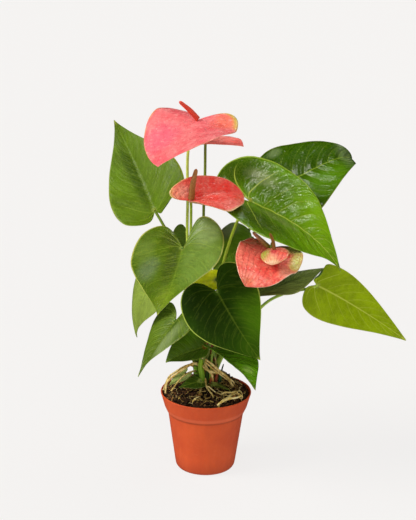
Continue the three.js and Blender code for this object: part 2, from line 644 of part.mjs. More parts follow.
const sheath = tube(SHEATH.axis, 6, 6, (f) => {
  const i = f < 0.5 ? 0 : 1;
  return SHEATH.thick[i] + (SHEATH.thick[i + 1] - SHEATH.thick[i]) * (2 * f - i);
});
addNode('sheath', sheath.subtract(crownsGrown[1]), 0x7a4a2c, 0.8);

LEAVES.forEach((leaf) => {
  const flat = blade(leaf, LEAF_OUTLINE, leaf.length > 80 ? 3 : 2, BLADE_THICKNESS);
  const radius = leaf.length > 60 ? PETIOLE_RADIUS : 1.2;
  const stalk = petiole(leaf, radius, 0).subtract(crownsGrown[leaf.crown]);
  addNode(leaf.name, flat.add(mainBody(stalk)), leaf.colour, 0.4);
});

SMALL_LEAVES.forEach((leaf) => {
  const flat = blade(leaf, LEAF_OUTLINE, 2, BLADE_THICKNESS);
  addNode(leaf.name, flat.add(petiole(leaf, 0.9, 0)), leaf.colour, 0.5);
});

BLOOMS.forEach((bloom) => {
  const stalk = peduncle(bloom, 0).subtract(crownsGrown[bloom.crown]);
  const stalkGrown = peduncle(bloom, CLEARANCE);
  const spike = spadix(bloom, 0).subtract(stalkGrown);
  const spikeGrown = spadix(bloom, CLEARANCE);
  const spathe = blade(bloom, SPATHE_OUTLINE, 3, SPATHE_THICKNESS);
  addNode(`${bloom.name}_stalk`, mainBody(stalk), bloom.stalkColour, 0.5);
  const cut = spathe.subtract(stalkGrown).subtract(spikeGrown);
  addNode(`${bloom.name}_spathe`, cut, bloom.colour, 0.35);
  addNode(`${bloom.name}_spadix`, spike, bloom.spadixColour, 0.6);
});

export default group;
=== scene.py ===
# Potted anthurium: fine leaves, blooms, stems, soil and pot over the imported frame.
# Lengths are in millimetres and become metres where a mesh is made.
# +X is to the right in the photograph, -Y is towards the camera and +Z is up.
import itertools
import math
from types import SimpleNamespace

import bpy
import numpy as np
from mathutils import Matrix, Vector


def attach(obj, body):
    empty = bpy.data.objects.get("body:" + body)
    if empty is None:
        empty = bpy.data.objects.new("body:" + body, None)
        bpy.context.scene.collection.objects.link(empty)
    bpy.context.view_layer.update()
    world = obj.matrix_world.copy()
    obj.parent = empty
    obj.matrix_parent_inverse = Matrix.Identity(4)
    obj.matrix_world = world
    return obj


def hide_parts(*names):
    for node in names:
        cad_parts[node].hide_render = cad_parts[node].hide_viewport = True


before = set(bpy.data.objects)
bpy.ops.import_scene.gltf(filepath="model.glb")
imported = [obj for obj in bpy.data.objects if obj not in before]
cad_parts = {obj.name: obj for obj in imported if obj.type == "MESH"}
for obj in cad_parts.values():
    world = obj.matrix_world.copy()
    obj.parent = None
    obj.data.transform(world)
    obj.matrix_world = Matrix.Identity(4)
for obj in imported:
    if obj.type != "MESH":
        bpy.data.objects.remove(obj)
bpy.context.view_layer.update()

MM = 0.001

# Outline of one half of a blade: x along the midrib from the stalk to the tip, y out to the margin
LEAF_OUTLINE = [
  [0, 0], [-0.09, 0.1], [-0.18, 0.22], [-0.25, 0.42], [-0.235, 0.65], [-0.13, 0.87], [0.06, 1],
  [0.25, 0.98], [0.45, 0.8], [0.62, 0.56], [0.77, 0.32], [0.89, 0.14], [0.95, 0.06], [1, 0],
]

SPATHE_OUTLINE = [
  [0, 0], [-0.1, 0.1], [-0.2, 0.24], [-0.27, 0.44], [-0.26, 0.68], [-0.15, 0.89], [0.04, 1],
  [0.25, 0.98], [0.46, 0.84], [0.66, 0.6], [0.82, 0.34], [0.92, 0.15], [0.97, 0.05], [1, 0],
]

# A blade's shape, as in the part's source. Pairs are for the left and the right side, seen from the
# stalk, and angles are in degrees. at is the stalk's end, aim the blade's azimuth, pitch and roll, bend
# bows its midrib (power: how late), fold and curl lift its sides, half scales their widths, full
# below 1 makes them fuller, lobes and lobe scale and lift the back lobes, wave and phase ruffle the
# margin, and quilt scales the relief between the veins. stalk is the petiole's or peduncle's route.
# Its looks: zones are soft patches of the flat blade (x, y, half length, half width, colour, amount,
# and for a spathe the share of the way out where it begins); on a leaf they are mostly painted shade,
# painted sheen and painted light where light shines through. rim and edge are the margin's colour
# and amount, stem is the stalk's colour at its foot and its head. Amounts are from 0 to 1: veins,
# basal (the lowest veins), rib, net and creased (painted light and shade along the creases) in a
# leaf, lines, net, deep and light in a spathe.
# pillow, pitted, streaks and blister scale the bump.
LEAF_DEFAULTS = dict(
    half=[1, 1], lobes=1, lobe=[-8, -8], full=1, power=1.5, twist=0, quilt=1, zones=(), basal=None,
    rib=0.2, net=0.06, creased=0.12, edge=0.35, rough=0.33, shine=0.4, pillow=0.5, pitted=1.4, streaks=0.35,
    pale=0xa0b83c, rim=0xb8bc48, knot=0x9aa850, stem=(0x6f7a34, 0x5f8a2c),
)

SPATHE_DEFAULTS = dict(
    lobes=1, full=1, power=1.5, quilt=1, zones=(), lines=0.14, deep=0.35, light=0.35, blister=0.8,
    cells=230, edge=0.7, rim_from=0.9, spike_tip=None,
)

# Short stems that the leaves grow from: name, foot, top, radius at the foot, two colours
CROWNS = [
  ("crown_left", [-11, 6, 70], [-11, 6, 150], 4.6, 0x6a9c0c, 0x55601c),
  ("crown_centre", [-1, -4, 70], [-2, -4, 139], 4.4, 0x6c6a20, 0x6a4020),
  ("crown_right", [10, 5, 70], [10, 5, 141], 4.4, 0x66741c, 0x7a3a1c),
]

LEAVES = [
  dict(
    name="leaf_upper_left", at=[-60, 15, 304], aim=[111, 30, -37.5], length=138, width=111,
    half=[0.81, 0.96], bend=-25, fold=[31, 31], curl=[11, 21], lobe=[-48, -68], wave=1.9, phase=0.23,
    stalk=[[-11, 6, 138], [-16, 17, 162], [-27, 32, 222], [-41, 34, 262], [-52, 21.5, 288]],
    stem=(0x9ab040, 0x9ab840), colour=0x54720a, zones=[(60, 7, 55, 7, 0x365204, 0.8),
    (55, 26, 32, 12, 0x608408, 0.5), (55, -22, 70, 20, 0x5a7420, 0.7)], veins=0.12, basal=0.3, rib=0.1,
    creased=0.1, rough=0.4, shine=0.2, streaks=0.5,
  ),
  dict(
    name="leaf_centre_left", at=[-27, -50, 279], aim=[-97, -15.5, 17], length=147, width=110,
    half=[0.91, 0.95], bend=-14.5, fold=[19, 19], curl=[41, -5], full=1.1, lobe=[-55, -22], twist=-2,
    wave=2.6, phase=0.11, stalk=[[-11, 6, 132], [-14, -4, 152], [-21, -24, 215], [-26, -43, 266]],
    colour=0x4c6a08, rim=0xc8c860, edge=0.7, zones=[(28, 26, 80, 27, 0x6e8c3c, 0.75),
    (-10, 30, 26, 16, 0x8aa068, 0.5), (30, -8, 60, 8, 0x3a500a, 0.75),
    (-14, -16, 16, 11, 0x384c08, 0.7), (48, -30, 30, 11, 0x74886a, 0.5),
    (12, -40, 30, 12, 0x74903c, 0.5), (110, 0, 34, 12, 0x7a9420, 0.6)], veins=0.15, basal=0.4, rib=0.15,
    creased=0.16, rough=0.36, pillow=0.4, streaks=0.5,
  ),
  dict(
    name="leaf_front_centre", at=[11, -60, 234], aim=[-46, -47, 61], length=88.5, width=89.5,
    half=[0.99, 1.06], bend=29, fold=[13.5, 13.5], curl=[16, 16.5], lobe=[-12.5, -2], twist=-4,
    wave=0.8, phase=0.1, stalk=[[-1.5, -5, 131], [3, -13, 151], [6, -34, 195], [9, -52, 226]],
    colour=0x223e00, rim=0xb8cc58, edge=0.9, knot=0x4a6a1c, zones=[(54, 28, 44, 24, 0x4a7404, 0.8),
    (74, 4, 24, 20, 0x3a5e02, 0.6), (10, -20, 40, 24, 0x182c00, 0.75), (2, 24, 20, 20, 0x1e3600, 0.7)],
    veins=0.07, basal=0.08, rib=0.14, net=0, creased=0.05, rough=0.5, shine=0.07, pillow=0.25,
    pitted=0.25, streaks=0.1,
  ),
  dict(
    name="leaf_upper_right", at=[45.9, -1.8, 320.3], aim=[-1, -22.5, 8.5], length=136.5,
    width=141, half=[1.05, 1.05], bend=39, fold=[16.5, 6.5], curl=[-8, 6.5], full=1.33, lobe=[68, 12],
    twist=21, wave=2.8, phase=0.37, quilt=1.5, stalk=[[9, 4, 139], [8, -4, 160], [15, -17, 240],
    [31, -19, 299]], stem=(0xb0c830, 0xc4d830), colour=0x568600, pale=0xc4d454, rim=0xb4d050, edge=0.7,
    zones=[(-20, 50, 34, 30, 0x2c4a04, 0.9), (14, 42, 34, 26, 0x406404, 0.5),
    (95, 25, 50, 50, 0x78a808, 0.8), (8, -42, 44, 24, 0x304c0a, 0.85), (36, -14, 30, 9, 0x728448, 0.6),
    (95, -25, 45, 20, 0x70a004, 0.7), (8, 44, 18, 12, 0x90a068, 0.5)], veins=0.24, basal=0.8, rib=0.85,
    creased=0.05, rough=0.18, pillow=2.6, pitted=0.5, streaks=0.9,
  ),
  dict(
    name="leaf_back_right", at=[70.4, 78.1, 310.4], aim=[6.5, 28, 40], length=124, width=117,
    half=[1.05, 0.97], bend=137, power=6, fold=[1.5, 10.5], curl=[30.5, 16], full=0.85, twist=7.5,
    wave=4.8, phase=-0.1, quilt=1.6, stalk=[[10, 5, 134], [12, 16, 155], [25, 35, 206], [45, 58, 262],
    [61, 74, 298]], colour=0x274800, zones=[(72, -24, 46, 24, 0x467204, 0.8),
    (103, 4, 12, 24, 0x5c6e46, 0.6), (28, 50, 10, 9, 0x74885a, 0.6), (40, 20, 30, 26, 0x284802, 0.6)],
    veins=0.1, basal=0.15, rib=0.35, creased=0.03, rough=0.17, shine=0.25, pillow=3, pitted=0.5,
    streaks=0.5,
  ),
  dict(
    name="leaf_lower_right", at=[126, 22, 215.6], aim=[44, -29.5, 107.5], length=145, width=82,
    half=[0.76, 0.86], bend=-66, fold=[15.5, 26], curl=[28.5, 0.5], full=0.83, lobe=[-70, -41.5],
    twist=-4.5, wave=1.3, phase=-0.15, stalk=[[10, 5, 113], [23, 8, 140], [60, 3, 193], [86, 8, 209],
    [118, 16, 214]], stem=(0xb8d454, 0xc8e45c), colour=0x869e00, pale=0xc0cc50, edge=0.6, veins=0.25,
    basal=0.6, rib=0.75, creased=0.06, rough=0.45, shine=0.06, pillow=0.2,
  ),
  dict(
    name="leaf_edge_right", at=[49, -5, 211], aim=[34, 9, -14], length=110, width=116,
    half=[0.6, 1], bend=2, fold=[11, 11], curl=[18, 18], lobes=0.5, lobe=[-8, -12], twist=9, wave=2,
    phase=0.03, quilt=1.6, stalk=[[10, 5, 123], [20, -2, 145], [34, -6, 182], [45, -6, 204]],
    stem=(0x8aa434, 0x94b03c), colour=0x74853f, zones=[(17, -15, 20, 14, 0x445422, 0.75),
    (66, 13, 26, 8, 0x8a9670, 0.5), (40, 6, 20, 10, 0x54683a, 0.6)], veins=0.06, creased=0.15,
    rough=0.42, shine=0.35, pillow=1.2,
  ),
  dict(
    name="leaf_behind_right", at=[50.7, 30, 268.5], aim=[-133, -18.5, -27], length=69, width=68,
    half=[1.02, 0.98], bend=11, fold=[7.5, 7.5], curl=[17, 18.5], lobes=0.4, twist=-4, wave=0.7,
    phase=0.07, stalk=[[10, 5, 126], [18, 12, 144], [36, 34, 205], [49, 33, 258]], colour=0x537a0a,
    zones=[(14, -28, 22, 12, 0x7a8468, 0.65)], veins=0.08, net=0.02, creased=0.05, rough=0.42,
    shine=0.3,
  ),
  dict(
    name="leaf_behind_left", at=[-21, 27.2, 269], aim=[-100, -75, 0], length=60, width=42,
    bend=18, fold=[9, 9], curl=[15, 15], wave=0.8, phase=0.2, stalk=[[-11, 6, 129], [-8, 17, 150],
    [-13, 32, 215], [-21, 31, 261]], colour=0x4e6e08, veins=0.05, creased=0.05, rough=0.42, shine=0.3,
  ),
  dict(
    name="leaf_far_left", at=[-53.8, 19, 234.5], aim=[176.5, -56, -20.5], length=96, width=94.5,
    half=[1.05, 1.01], bend=43, fold=[9.5, 10], curl=[22.5, 22], full=0.85, twist=-1.5, wave=1.5,
    phase=0.25, stalk=[[-11, 6, 126], [-19, 9, 146], [-22, 15, 200], [-33, 23, 226], [-48, 24, 235]],
    colour=0x82983e, veins=0.25, rib=0.3, pillow=0.4,
  ),
  dict(
    name="leaf_lower_left", at=[-34.8, -32, 190], aim=[-142, -44.5, 11], length=75.5, width=68,
    half=[1.07, 1.04], bend=5, fold=[14, 14], curl=[32, 14], lobe=[-20, -50], twist=20, wave=0.6,
    phase=-0.22, stalk=[[-11, 6, 121], [-17, 1, 136], [-22, -3, 163], [-26, -14, 182]], colour=0x526c16,
    zones=[(26, 16, 26, 13, 0x8a9c68, 0.75), (34, -16, 26, 12, 0x587418, 0.6),
    (4, 4, 18, 6, 0x3e5a0c, 0.8), (52, 4, 22, 5, 0x46640c, 0.6)], veins=0.2, rib=0.15, creased=0.2,
    pillow=0.6, streaks=0.6,
  ),
  dict(
    name="leaf_low_left", at=[-1, -36, 161], aim=[166.5, -21, -44.5], length=57, width=50.5,
    half=[0.62, 1.24], bend=28, fold=[21.5, 21.5], curl=[14, 13], lobes=0.3, lobe=[-14, -8], twist=-9,
    wave=1, phase=-0.26, quilt=2.2, stalk=[[-2, -4, 128], [-2.5, -14, 136], [-1.5, -29, 153]],
    colour=0x4c6c08, knot=0xa85420, zones=[(20, 16, 26, 12, 0x344c10, 0.7),
    (24, 2, 20, 6, 0x587024, 0.5), (16, -20, 30, 10, 0x4e7a04, 0.6)], veins=0.06, net=0.02, pillow=0.8,
    pitted=2.2,
  ),
  dict(
    name="leaf_low_right", at=[7.6, -40, 160], aim=[-56, -2, -17.5], length=90, width=81,
    half=[1.01, 0.5], bend=23.5, fold=[18, 18], curl=[13, 11], lobes=0.3, twist=1, wave=1.4, phase=0.22,
    quilt=1.6, stalk=[[10, 4, 133], [10, -8, 139], [8, -32, 152]], colour=0x508600,
    zones=[(58, 8, 9, 6, 0x8cac50, 0.6), (20, 0, 24, 16, 0x335c02, 0.6)], veins=0.06, net=0.02,
    rough=0.26, pillow=1.4, pitted=0.8, streaks=0.7,
  ),
  dict(
    name="leaf_young", at=[9.5, -30, 237.5], aim=[176, -6, -55], length=34, width=24, bend=12,
    fold=[10, 10], curl=[10, 10], wave=0.4, phase=0, stalk=[[-3.5, -3.5, 138], [-6, -7, 165],
    [5, -22, 215], [10.5, -28, 231]], colour=0xf0ff04, veins=0.05,
  ),
]

SMALL_LEAVES = [
  dict(
    name="leaf_soil_front", at=[-6, -15, 110.5], aim=[201, -6, -22], length=27, width=21,
    bend=10, fold=[9, 9], curl=[10, 10], lobes=0.4, lobe=[0, 0], wave=0.4, phase=0,
    stalk=[[-1, -10.5, 96], [-1.5, -11.5, 106]], colour=0x2c4604, rim=0x90a850, edge=0.8, veins=0.1,
    net=0,
  ),
  dict(
    name="leaf_soil_left", at=[-24, 0, 114], aim=[215, -22, -20], length=25, width=16, bend=8,
    fold=[8, 8], curl=[10, 10], lobe=[0, 0], wave=0.3, phase=0.3, stalk=[[-19, 5, 96], [-20, 3.5, 108]],
    colour=0x8c9c58, rim=0xc8c080, edge=0.7, veins=0.1,
  ),
  dict(
    name="leaf_soil_right", at=[9, -15, 107], aim=[-24, -6, 12], length=21, width=9, bend=14,
    fold=[8, 8], curl=[10, 10], lobe=[0, 0], wave=0.2, phase=0, stalk=[[5.5, -11.5, 95],
    [6.5, -13, 104]], colour=0x32370d, veins=0.1,
  ),
  dict(
    name="leaf_soil_bud", at=[16, -1, 107], aim=[60, 78, 20], length=11, width=6, bend=-10,
    fold=[24, 24], curl=[-10, -10], lobes=0.3, lobe=[0, 0], wave=0.1, phase=0, stalk=[[16, -2, 96],
    [16, -1.6, 102]], colour=0x4c5a30, veins=0.1,
  ),
]

# Blooms: spadix is the spike's route, thick its radii, spike and spike_tip its colours
BLOOMS = [
  dict(
    name="bloom_top", at=[-12.7, -24.2, 414.7], aim=[-112.5, -12, -5.5], length=103.5,
    width=95.5, half=[0.96, 1], bend=12, fold=[1, 4.5], curl=[8.5, -2], full=0.8, lobe=[-1, 31.5],
    twist=27.5, wave=1.6, phase=-0.3, stalk=[[-12.5, 4.5, 148], [-17.5, 0, 200], [-22.8, -1, 274],
    [-22.8, -1, 321], [-23, -7, 372], [-18, -20, 402]], stem=(0xb8d440, 0xf4ff78),
    spadix=[[-12.2, -25.5, 416.4], [-20.5, -27.5, 425.8], [-32, -30, 436]], thick=[2.8, 2.6, 1.6],
    spike=0xf04c30, stigma=0xf88070, colour=0xec666c, mottle=0xf28284, vein=0xe04a60, pale=0xffb4b0,
    rim=0xe8b070, rim_from=0.95, edge=0.6, zones=[(-12, 30, 24, 17, 0xf0785c, 0.8),
    (6, 24, 12, 9, 0xe85c50, 0.6), (50, -22, 30, 20, 0xec6480, 0.6), (92, -3, 12, 10, 0xf0606c, 0.6),
    (-20, 32, 24, 26, 0xc0bc44, 1, 0.82)], net=0.08, lines=0.08, deep=0.25, light=0.4, cells=260,
  ),
  dict(
    name="bloom_rear", at=[-3.5, 15, 384], aim=[-41, 8, 0], length=54.5, width=57,
    half=[0.99, 1], bend=14, fold=[8, 8], curl=[14, 14], lobe=[-10, -10], twist=1, wave=0.6, phase=0.09,
    stalk=[[-1, -3, 132], [0, 4, 150], [-3, 9, 220], [-5, 12, 299], [-4, 14, 345], [-4, 15, 376]],
    stem=(0x88a024, 0x7c8c1c), spadix=[[-3.5, 15.5, 386], [-4, 18, 396], [-5, 20, 406]],
    thick=[2.4, 2.2, 1.4], spike=0xd04c34, stigma=0xd86050, colour=0xff7a70, mottle=0xff9088,
    vein=0xd84840, pale=0xffc0b0, rim=0xd89060, net=0.1, deep=0.25, light=0.6,
  ),
  dict(
    name="bloom_middle", at=[-18.6, -52.8, 333.5], aim=[41, 6, 14], length=79, width=75,
    half=[0.64, 1.19], bend=25, fold=[43, 19.5], curl=[7, 10], full=0.91, lobe=[-0.5, -60.5],
    twist=25.5, wave=2, phase=0.08, stalk=[[-10.5, 7, 143], [-6.5, 12, 163], [-13, 12, 215],
    [-18.8, 4, 268], [-18.8, -12, 298], [-18.5, -36, 322]], stem=(0xa8c040, 0xc4dc4c),
    spadix=[[-18, -53.5, 335.5], [-16.5, -55, 352], [-13, -56, 369]], thick=[3.3, 2.9, 1.9],
    spike=0xa87430, spike_tip=0xc88a4c, stigma=0xd8a060, colour=0xff4a3e, mottle=0xff7c6e,
    vein=0xd83430, pale=0xffa898, rim=0xf4d090, rim_from=0.93, edge=1,
    zones=[(-16, 13, 13, 10, 0xffa888, 0.9), (-3, 11, 9, 9, 0xffb8a4, 0.7),
    (8, 1, 12, 8, 0xe8281e, 0.85), (36, -30, 26, 12, 0xff8478, 0.7),
    (-22, 10, 12, 14, 0xb8ac44, 0.95, 0.8), (8, -42, 40, 18, 0xf4dca4, 1, 0.9)], net=0.08, lines=0.2,
    blister=1,
  ),
  dict(
    name="bloom_right", at=[66.2, -49.9, 280.2], aim=[-107.5, -5, -18.5], length=78, width=66.5,
    half=[1.18, 0.91], bend=26, fold=[5.5, 4], curl=[7, 13], full=0.62, lobe=[0, 29], twist=-11.5,
    wave=3.2, phase=-0.52, stalk=[[-2, -4, 123], [5.5, -6, 142], [17, -26, 200], [34, -36, 235],
    [56, -46, 264]], stem=(0x6e8018, 0x7c8c24), spadix=[[65.2, -51, 283], [58.4, -53.5, 290],
    [48, -56, 300.5]], thick=[2.4, 2.3, 1.4], spike=0xa89028, spike_tip=0xf0a080, stigma=0xd0a050,
    colour=0xee5048, mottle=0xf88470, vein=0xb83028, pale=0xffb090, rim=0xfce0c0, rim_from=0.955,
    edge=1, zones=[(-16, 27, 15, 14, 0xdce478, 1), (6, 34, 16, 8, 0xd0d86c, 0.95),
    (34, 28, 14, 7, 0xf4a888, 0.7), (4, 16, 14, 9, 0xd0382c, 0.7), (20, -14, 26, 10, 0xf4685c, 0.6),
    (72, -2, 8, 8, 0xd88058, 0.7)], net=0.15, lines=0.22, light=0.45, blister=1.2, cells=200,
  ),
  dict(
    name="bloom_pale", at=[69.3, -78.6, 288.2], aim=[-97.5, -2.5, 8], length=26.5, width=31.5,
    half=[1.13, 0.9], bend=52.5, fold=[-4.5, -6.5], curl=[20, 26.5], full=0.5, lobe=[5, -1.5],
    twist=-4.5, wave=0.7, phase=-0.18, stalk=[[10, 5, 133], [14, -5, 152], [21, -14, 195],
    [40, -27, 236], [61, -36, 258], [68.4, -40.5, 272], [69, -43, 283], [69.8, -58, 289.5],
    [69.8, -71, 289.6]], stem=(0x9cb030, 0xa8b838), spadix=[[70.4, -80.3, 288], [68.9, -81, 297.4],
    [65.2, -82, 306.8]], thick=[1.7, 1.6, 1.1], spike=0x94601c, stigma=0xc09050, colour=0xec7c6c,
    mottle=0xf09c84, vein=0xc04038, pale=0xffd0a8, rim=0xdcd080, zones=[(8, -11, 14, 9, 0xb0bc4c, 1),
    (20, -2, 8, 10, 0xecc890, 0.5), (6, 2, 6, 5, 0xd83848, 0.95), (10, 11, 14, 8, 0xf05c4c, 0.9),
    (25, 2, 4, 14, 0xe8e0a8, 0.6)], net=0.1, lines=0.4,
  ),
]

# Roots over the soil: name, radius and route
ROOTS = [
  (
    "root_left_high", 1.3, [[-12, 7, 119], [-21, 4, 122.5], [-34, -4, 118], [-43, -6, 111],
    [-49, -8, 96]],
  ),
  (
    "root_left_low", 1.1, [[-11.5, 4, 116], [-17, -5, 118], [-23, -10, 117], [-30, -14, 112],
    [-40, -18, 99]],
  ),
  (
    "root_right_high", 1.7, [[-2.5, -6, 127], [-2.5, -12, 127], [3, -14.5, 123.5], [12, -12, 120],
    [21, -8, 116.5], [31, -4, 100]],
  ),
  (
    "root_front", 1.2, [[-1.5, -6, 113], [-0.5, -11, 110], [0.5, -18, 105.5], [3.5, -24, 103],
    [8, -30, 99], [12, -38, 88]],
  ),
  ("root_front_left", 1.1, [[-2.5, -6, 106], [-5, -15, 103], [-7, -24, 101], [-10, -32, 91]]),
  (
    "root_front_right", 1.2, [[15, -25, 92], [20, -26, 101], [29, -25, 101], [35, -23, 101],
    [41, -25, 90]],
  ),
  ("root_rim", 1.4, [[12.5, -43, 84], [17, -40, 95], [24, -34, 98], [30, -32, 97], [35, -30, 84]]),
]

SHEATH = dict(axis=[[-3, -5, 136], [-3, -11, 146], [-4, -12, 160]], thick=[1.4, 1.8, 0.6])

# Cut stubs and young stems between the crowns: name, crown, two colours, radii and route
STUBS = [
  (
    "stub_green", "crown_centre", 0x98c018, 0x5c8414, [2.6, 3.4, 2.9], [[-5.4, -7, 135],
    [-6.4, -8.5, 125], [-4.2, -8.5, 112], [-3.5, -7, 99]],
  ),
  (
    "stub_dark", "crown_centre", 0x34540c, 0x243c08, [1.5, 2, 2.3], [[2.6, -7, 138], [1.2, -8, 122],
    [0.6, -8, 99]],
  ),
  (
    "stub_orange", "crown_centre", 0xc07030, 0x70301a, [1.5, 1.8, 2], [[7.6, -8, 117], [6, -8, 110],
    [4, -6, 98]],
  ),
  (
    "stub_red", "crown_right", 0xa04424, 0x5c2412, [1.3, 1.7, 2], [[12.6, -7, 117], [11.4, -7, 109],
    [9.5, -5, 98]],
  ),
  (
    "stub_teal", "crown_right", 0x4c8450, 0x204c34, [1.1, 1.6, 2], [[17, -4, 116], [16, -2, 108],
    [15, 1.5, 98]],
  ),
  (
    "stub_thin", "crown_right", 0x2c4c10, 0x1c3008, [0.6, 1, 1.5], [[19.8, -3, 127], [17.6, -3, 118],
    [15.5, -1, 99]],
  ),
  (
    "stem_fork", "crown_right", 0xa8c850, 0x7c9c28, [0.8, 1.3, 1.6], [[7.4, -10, 148], [6.4, -9.5, 139],
    [5.6, -9, 129], [5, -7, 112], [6, -3, 99]],
  ),
  (
    "stem_fork_dry", "crown_right", 0xd8c080, 0x94783c, [0.5, 0.8, 0.9], [[7.6, -9.8, 147.5],
    [9.8, -9, 139], [10.8, -8, 131], [11, -5, 118]],
  ),
  (
    "sheath_dry", "crown_centre", 0xb87038, 0x7c3018, [1.2, 2.6, 1.4], [[-6.4, -9, 163], [-2, -13, 161],
    [1.5, -13, 158], [6, -12, 152], [5, -6, 141]],
  ),
  ("stub_back", "crown_right", 0x3a4810, 0x2a1c0c, [2, 3, 3.4], [[4, 8, 138], [4, 9, 120], [4, 8, 96]]),
]

# Straw-coloured strands: name, three colours, and each strand's radius and route
STRAW = [
  (
    "straw_roots", (0xc8a04c, 0xf4dc94, 0x7c5c28), [
      (
        1.1, [[-3, -5, 134], [-3.2, -13, 138], [6.5, -15, 131.8], [15.8, -13, 122.6], [25.2, -6, 111.2],
        [31.2, 2, 103.6], [33, 4, 98]],
      ),
      (
        0.95, [[-3, -5, 131], [-1.5, -13, 134], [5, -14.5, 128], [13.5, -12, 120], [21, -7, 112],
        [27.6, -2, 104.6], [29, 0, 98]],
      ),
      (
        0.5, [[-2, -6, 133], [1, -14, 136], [10, -15.5, 127], [19, -11, 117.5], [27, -3.5, 108.5],
        [31, 2, 100]],
      ),
      (1.5, [[-1, -7, 130], [-0.3, -11.5, 127], [3.2, -12, 122], [6.7, -11.5, 117], [8, -8, 108]]),
      (
        1.5, [[-9, -3, 126], [-14, -8, 129.5], [-21, -9, 126.5], [-29, -10, 121], [-38, -11, 114.5],
        [-45, -13, 107], [-46.5, -14, 95]],
      ),
    ],
  ),
  (
    "straw_front", (0xdcbc5c, 0xfcecb0, 0x8c6c30), [
      (
        1.2, [[12, -45, 89.5], [14.9, -44, 95.5], [25.1, -36, 97.5], [35.4, -30, 97.2],
        [40.5, -25.5, 97.6], [41.5, -22, 93]],
      ),
      (0.9, [[14, -45, 90], [17, -42, 96.8], [27, -33.5, 97], [37, -27.5, 96.4], [41, -22, 92]]),
      (
        0.6, [[1, -17, 103], [3, -20, 106], [12.6, -24, 100], [25.2, -26, 98], [34.4, -18, 99],
        [39.1, -14, 98.8], [41.5, -18, 96.5], [42, -21, 92]],
      ),
      (0.6, [[19, -31, 94], [27, -29, 98.4], [36, -22, 98.8], [41.5, -21, 95.4], [42.5, -20, 91]]),
      (0.7, [[-16, -42, 90], [-13.5, -37, 97], [-9, -33.5, 98], [-4, -32, 94]]),
      (0.55, [[-11, -44, 90], [-12, -38, 97], [-14.5, -33, 95]]),
      (0.5, [[-17, -36, 94], [-12, -37.5, 97.5], [-7, -40, 92]]),
    ],
  ),
]


# Curves, noise and meshes


def spline(points, u):
    """Smooth curve through points, at parameters u from 0 to the last point's number."""
    p = np.asarray(points, float)
    last = len(p) - 1
    p = np.vstack([2 * p[0] - p[1], p, 2 * p[-1] - p[-2]])
    u = np.asarray(u, float)
    i = np.clip(u.astype(int), 0, last - 1)
    f = (u - i)[..., None]
    a, b, c, d = p[i], p[i + 1], p[i + 2], p[i + 3]
    cubic = (3 * b - a - 3 * c + d) * f**3
    return 0.5 * (2 * b + (c - a) * f + (2 * a - 5 * b + 4 * c - d) * f**2 + cubic)


def smooth(value, low, high):
    """0 below low, 1 above high, and a soft step between them."""
    t = np.clip((value - low) / (high - low), 0, 1)
    return t * t * (3 - 2 * t)


def noise(points, size, seed=0):
    """Smooth noise from -1 to 1 with lumps of the given size."""
    q = np.asarray(points, float) / size + 17.31 * (seed + 1)
    cell = np.floor(q).astype(np.int64)
    f = q - cell
    f = f * f * (3 - 2 * f)
    total = np.zeros(q.shape[:-1])
    for corner in np.ndindex(2, 2, 2):
        n = (cell + corner) * np.array([73856093, 19349663, 83492791])
        key = (n[..., 0] ^ n[..., 1] ^ n[..., 2]) & 0xFFFFFFF
        key = (key * 1103515245 + 12345) & 0x7FFFFFFF
        key = ((key >> 7) ^ key) * 69621 % 2147483647
        w = np.prod(np.where(corner, f, 1 - f), axis=-1)
        total += w * (key % 65536) / 32768
    return total - 1


def ring_faces(rings, sides):
    """Faces of a closed skin over rings of points, which the middles of both ends follow."""
    faces = []
    count = rings * sides
    for a in range(sides):
        b = (a + 1) % sides
        faces.append((count, b, a))
        faces.append((count + 1, count - sides + a, count - sides + b))
        faces += [(k + a, k + b, k + sides + b, k + sides + a) for k in range(0, count - sides, sides)]
    return faces


def added(name, data):
    """A new object, linked to the scene."""
    thing = bpy.data.objects.new(name, data)
    bpy.context.scene.collection.objects.link(thing)
    return thing


def shape(name, body, paint, nodes, flat=False):
    """A mesh object of the plant: it rides on the root body and stands for the CAD nodes given."""
    points, faces, values = body
    mesh = bpy.data.meshes.new(name)
    mesh.from_pydata((np.asarray(points, float) * MM).tolist(), [], faces)
    for key, data in values.items():
        layer = mesh.attributes.new(key, "FLOAT", "CORNER" if len(data) != len(points) else "POINT")
        layer.data.foreach_set("value", np.asarray(data, np.float32))
    mesh.materials.append(paint)
    mesh.polygons.foreach_set("use_smooth", [not flat] * len(mesh.polygons))
    mesh.update()
    thing = added(name, mesh)
    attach(thing, "root")
    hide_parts(*nodes)
    return thing


def tapered(thick):
    """Radius along a tube from its radii at the foot, the middle and the head."""
    return lambda f: float(np.interp(f, [0, 0.5, 1], thick))


def tube(route, rings, sides, radius_at, relief=None):
    """Points, faces and values of a closed tube along a route."""
    f = np.linspace(0, 1, rings + 1)
    centres = spline(route, f * (len(route) - 1))
    along = np.gradient(centres, axis=0)
    along /= np.linalg.norm(along, axis=1)[:, None]
    across = np.array([1.0, 0, 0]) if abs(along[0][0]) < 0.9 else np.array([0, 1.0, 0])
    turn = np.arange(sides) / sides * math.tau
    points = []
    for i in range(rings + 1):
        across = across - along[i] * across.dot(along[i])
        across /= np.linalg.norm(across)
        other = np.cross(along[i], across)
        ring = np.outer(np.cos(turn), across) + np.outer(np.sin(turn), other)
        radius = radius_at(f[i]) + (relief(f[i], turn) if relief else 0)
        points.append(centres[i] + ring * np.reshape(radius, (-1, 1)))
    points = np.vstack(points + [centres[:1], centres[-1:]])
    values = {
        "length": np.append(np.repeat(f, sides), [0, 1]),
        "turn": np.append(np.tile(turn, rings + 1), [0, 0]),
    }
    return points, ring_faces(rings + 1, sides), values


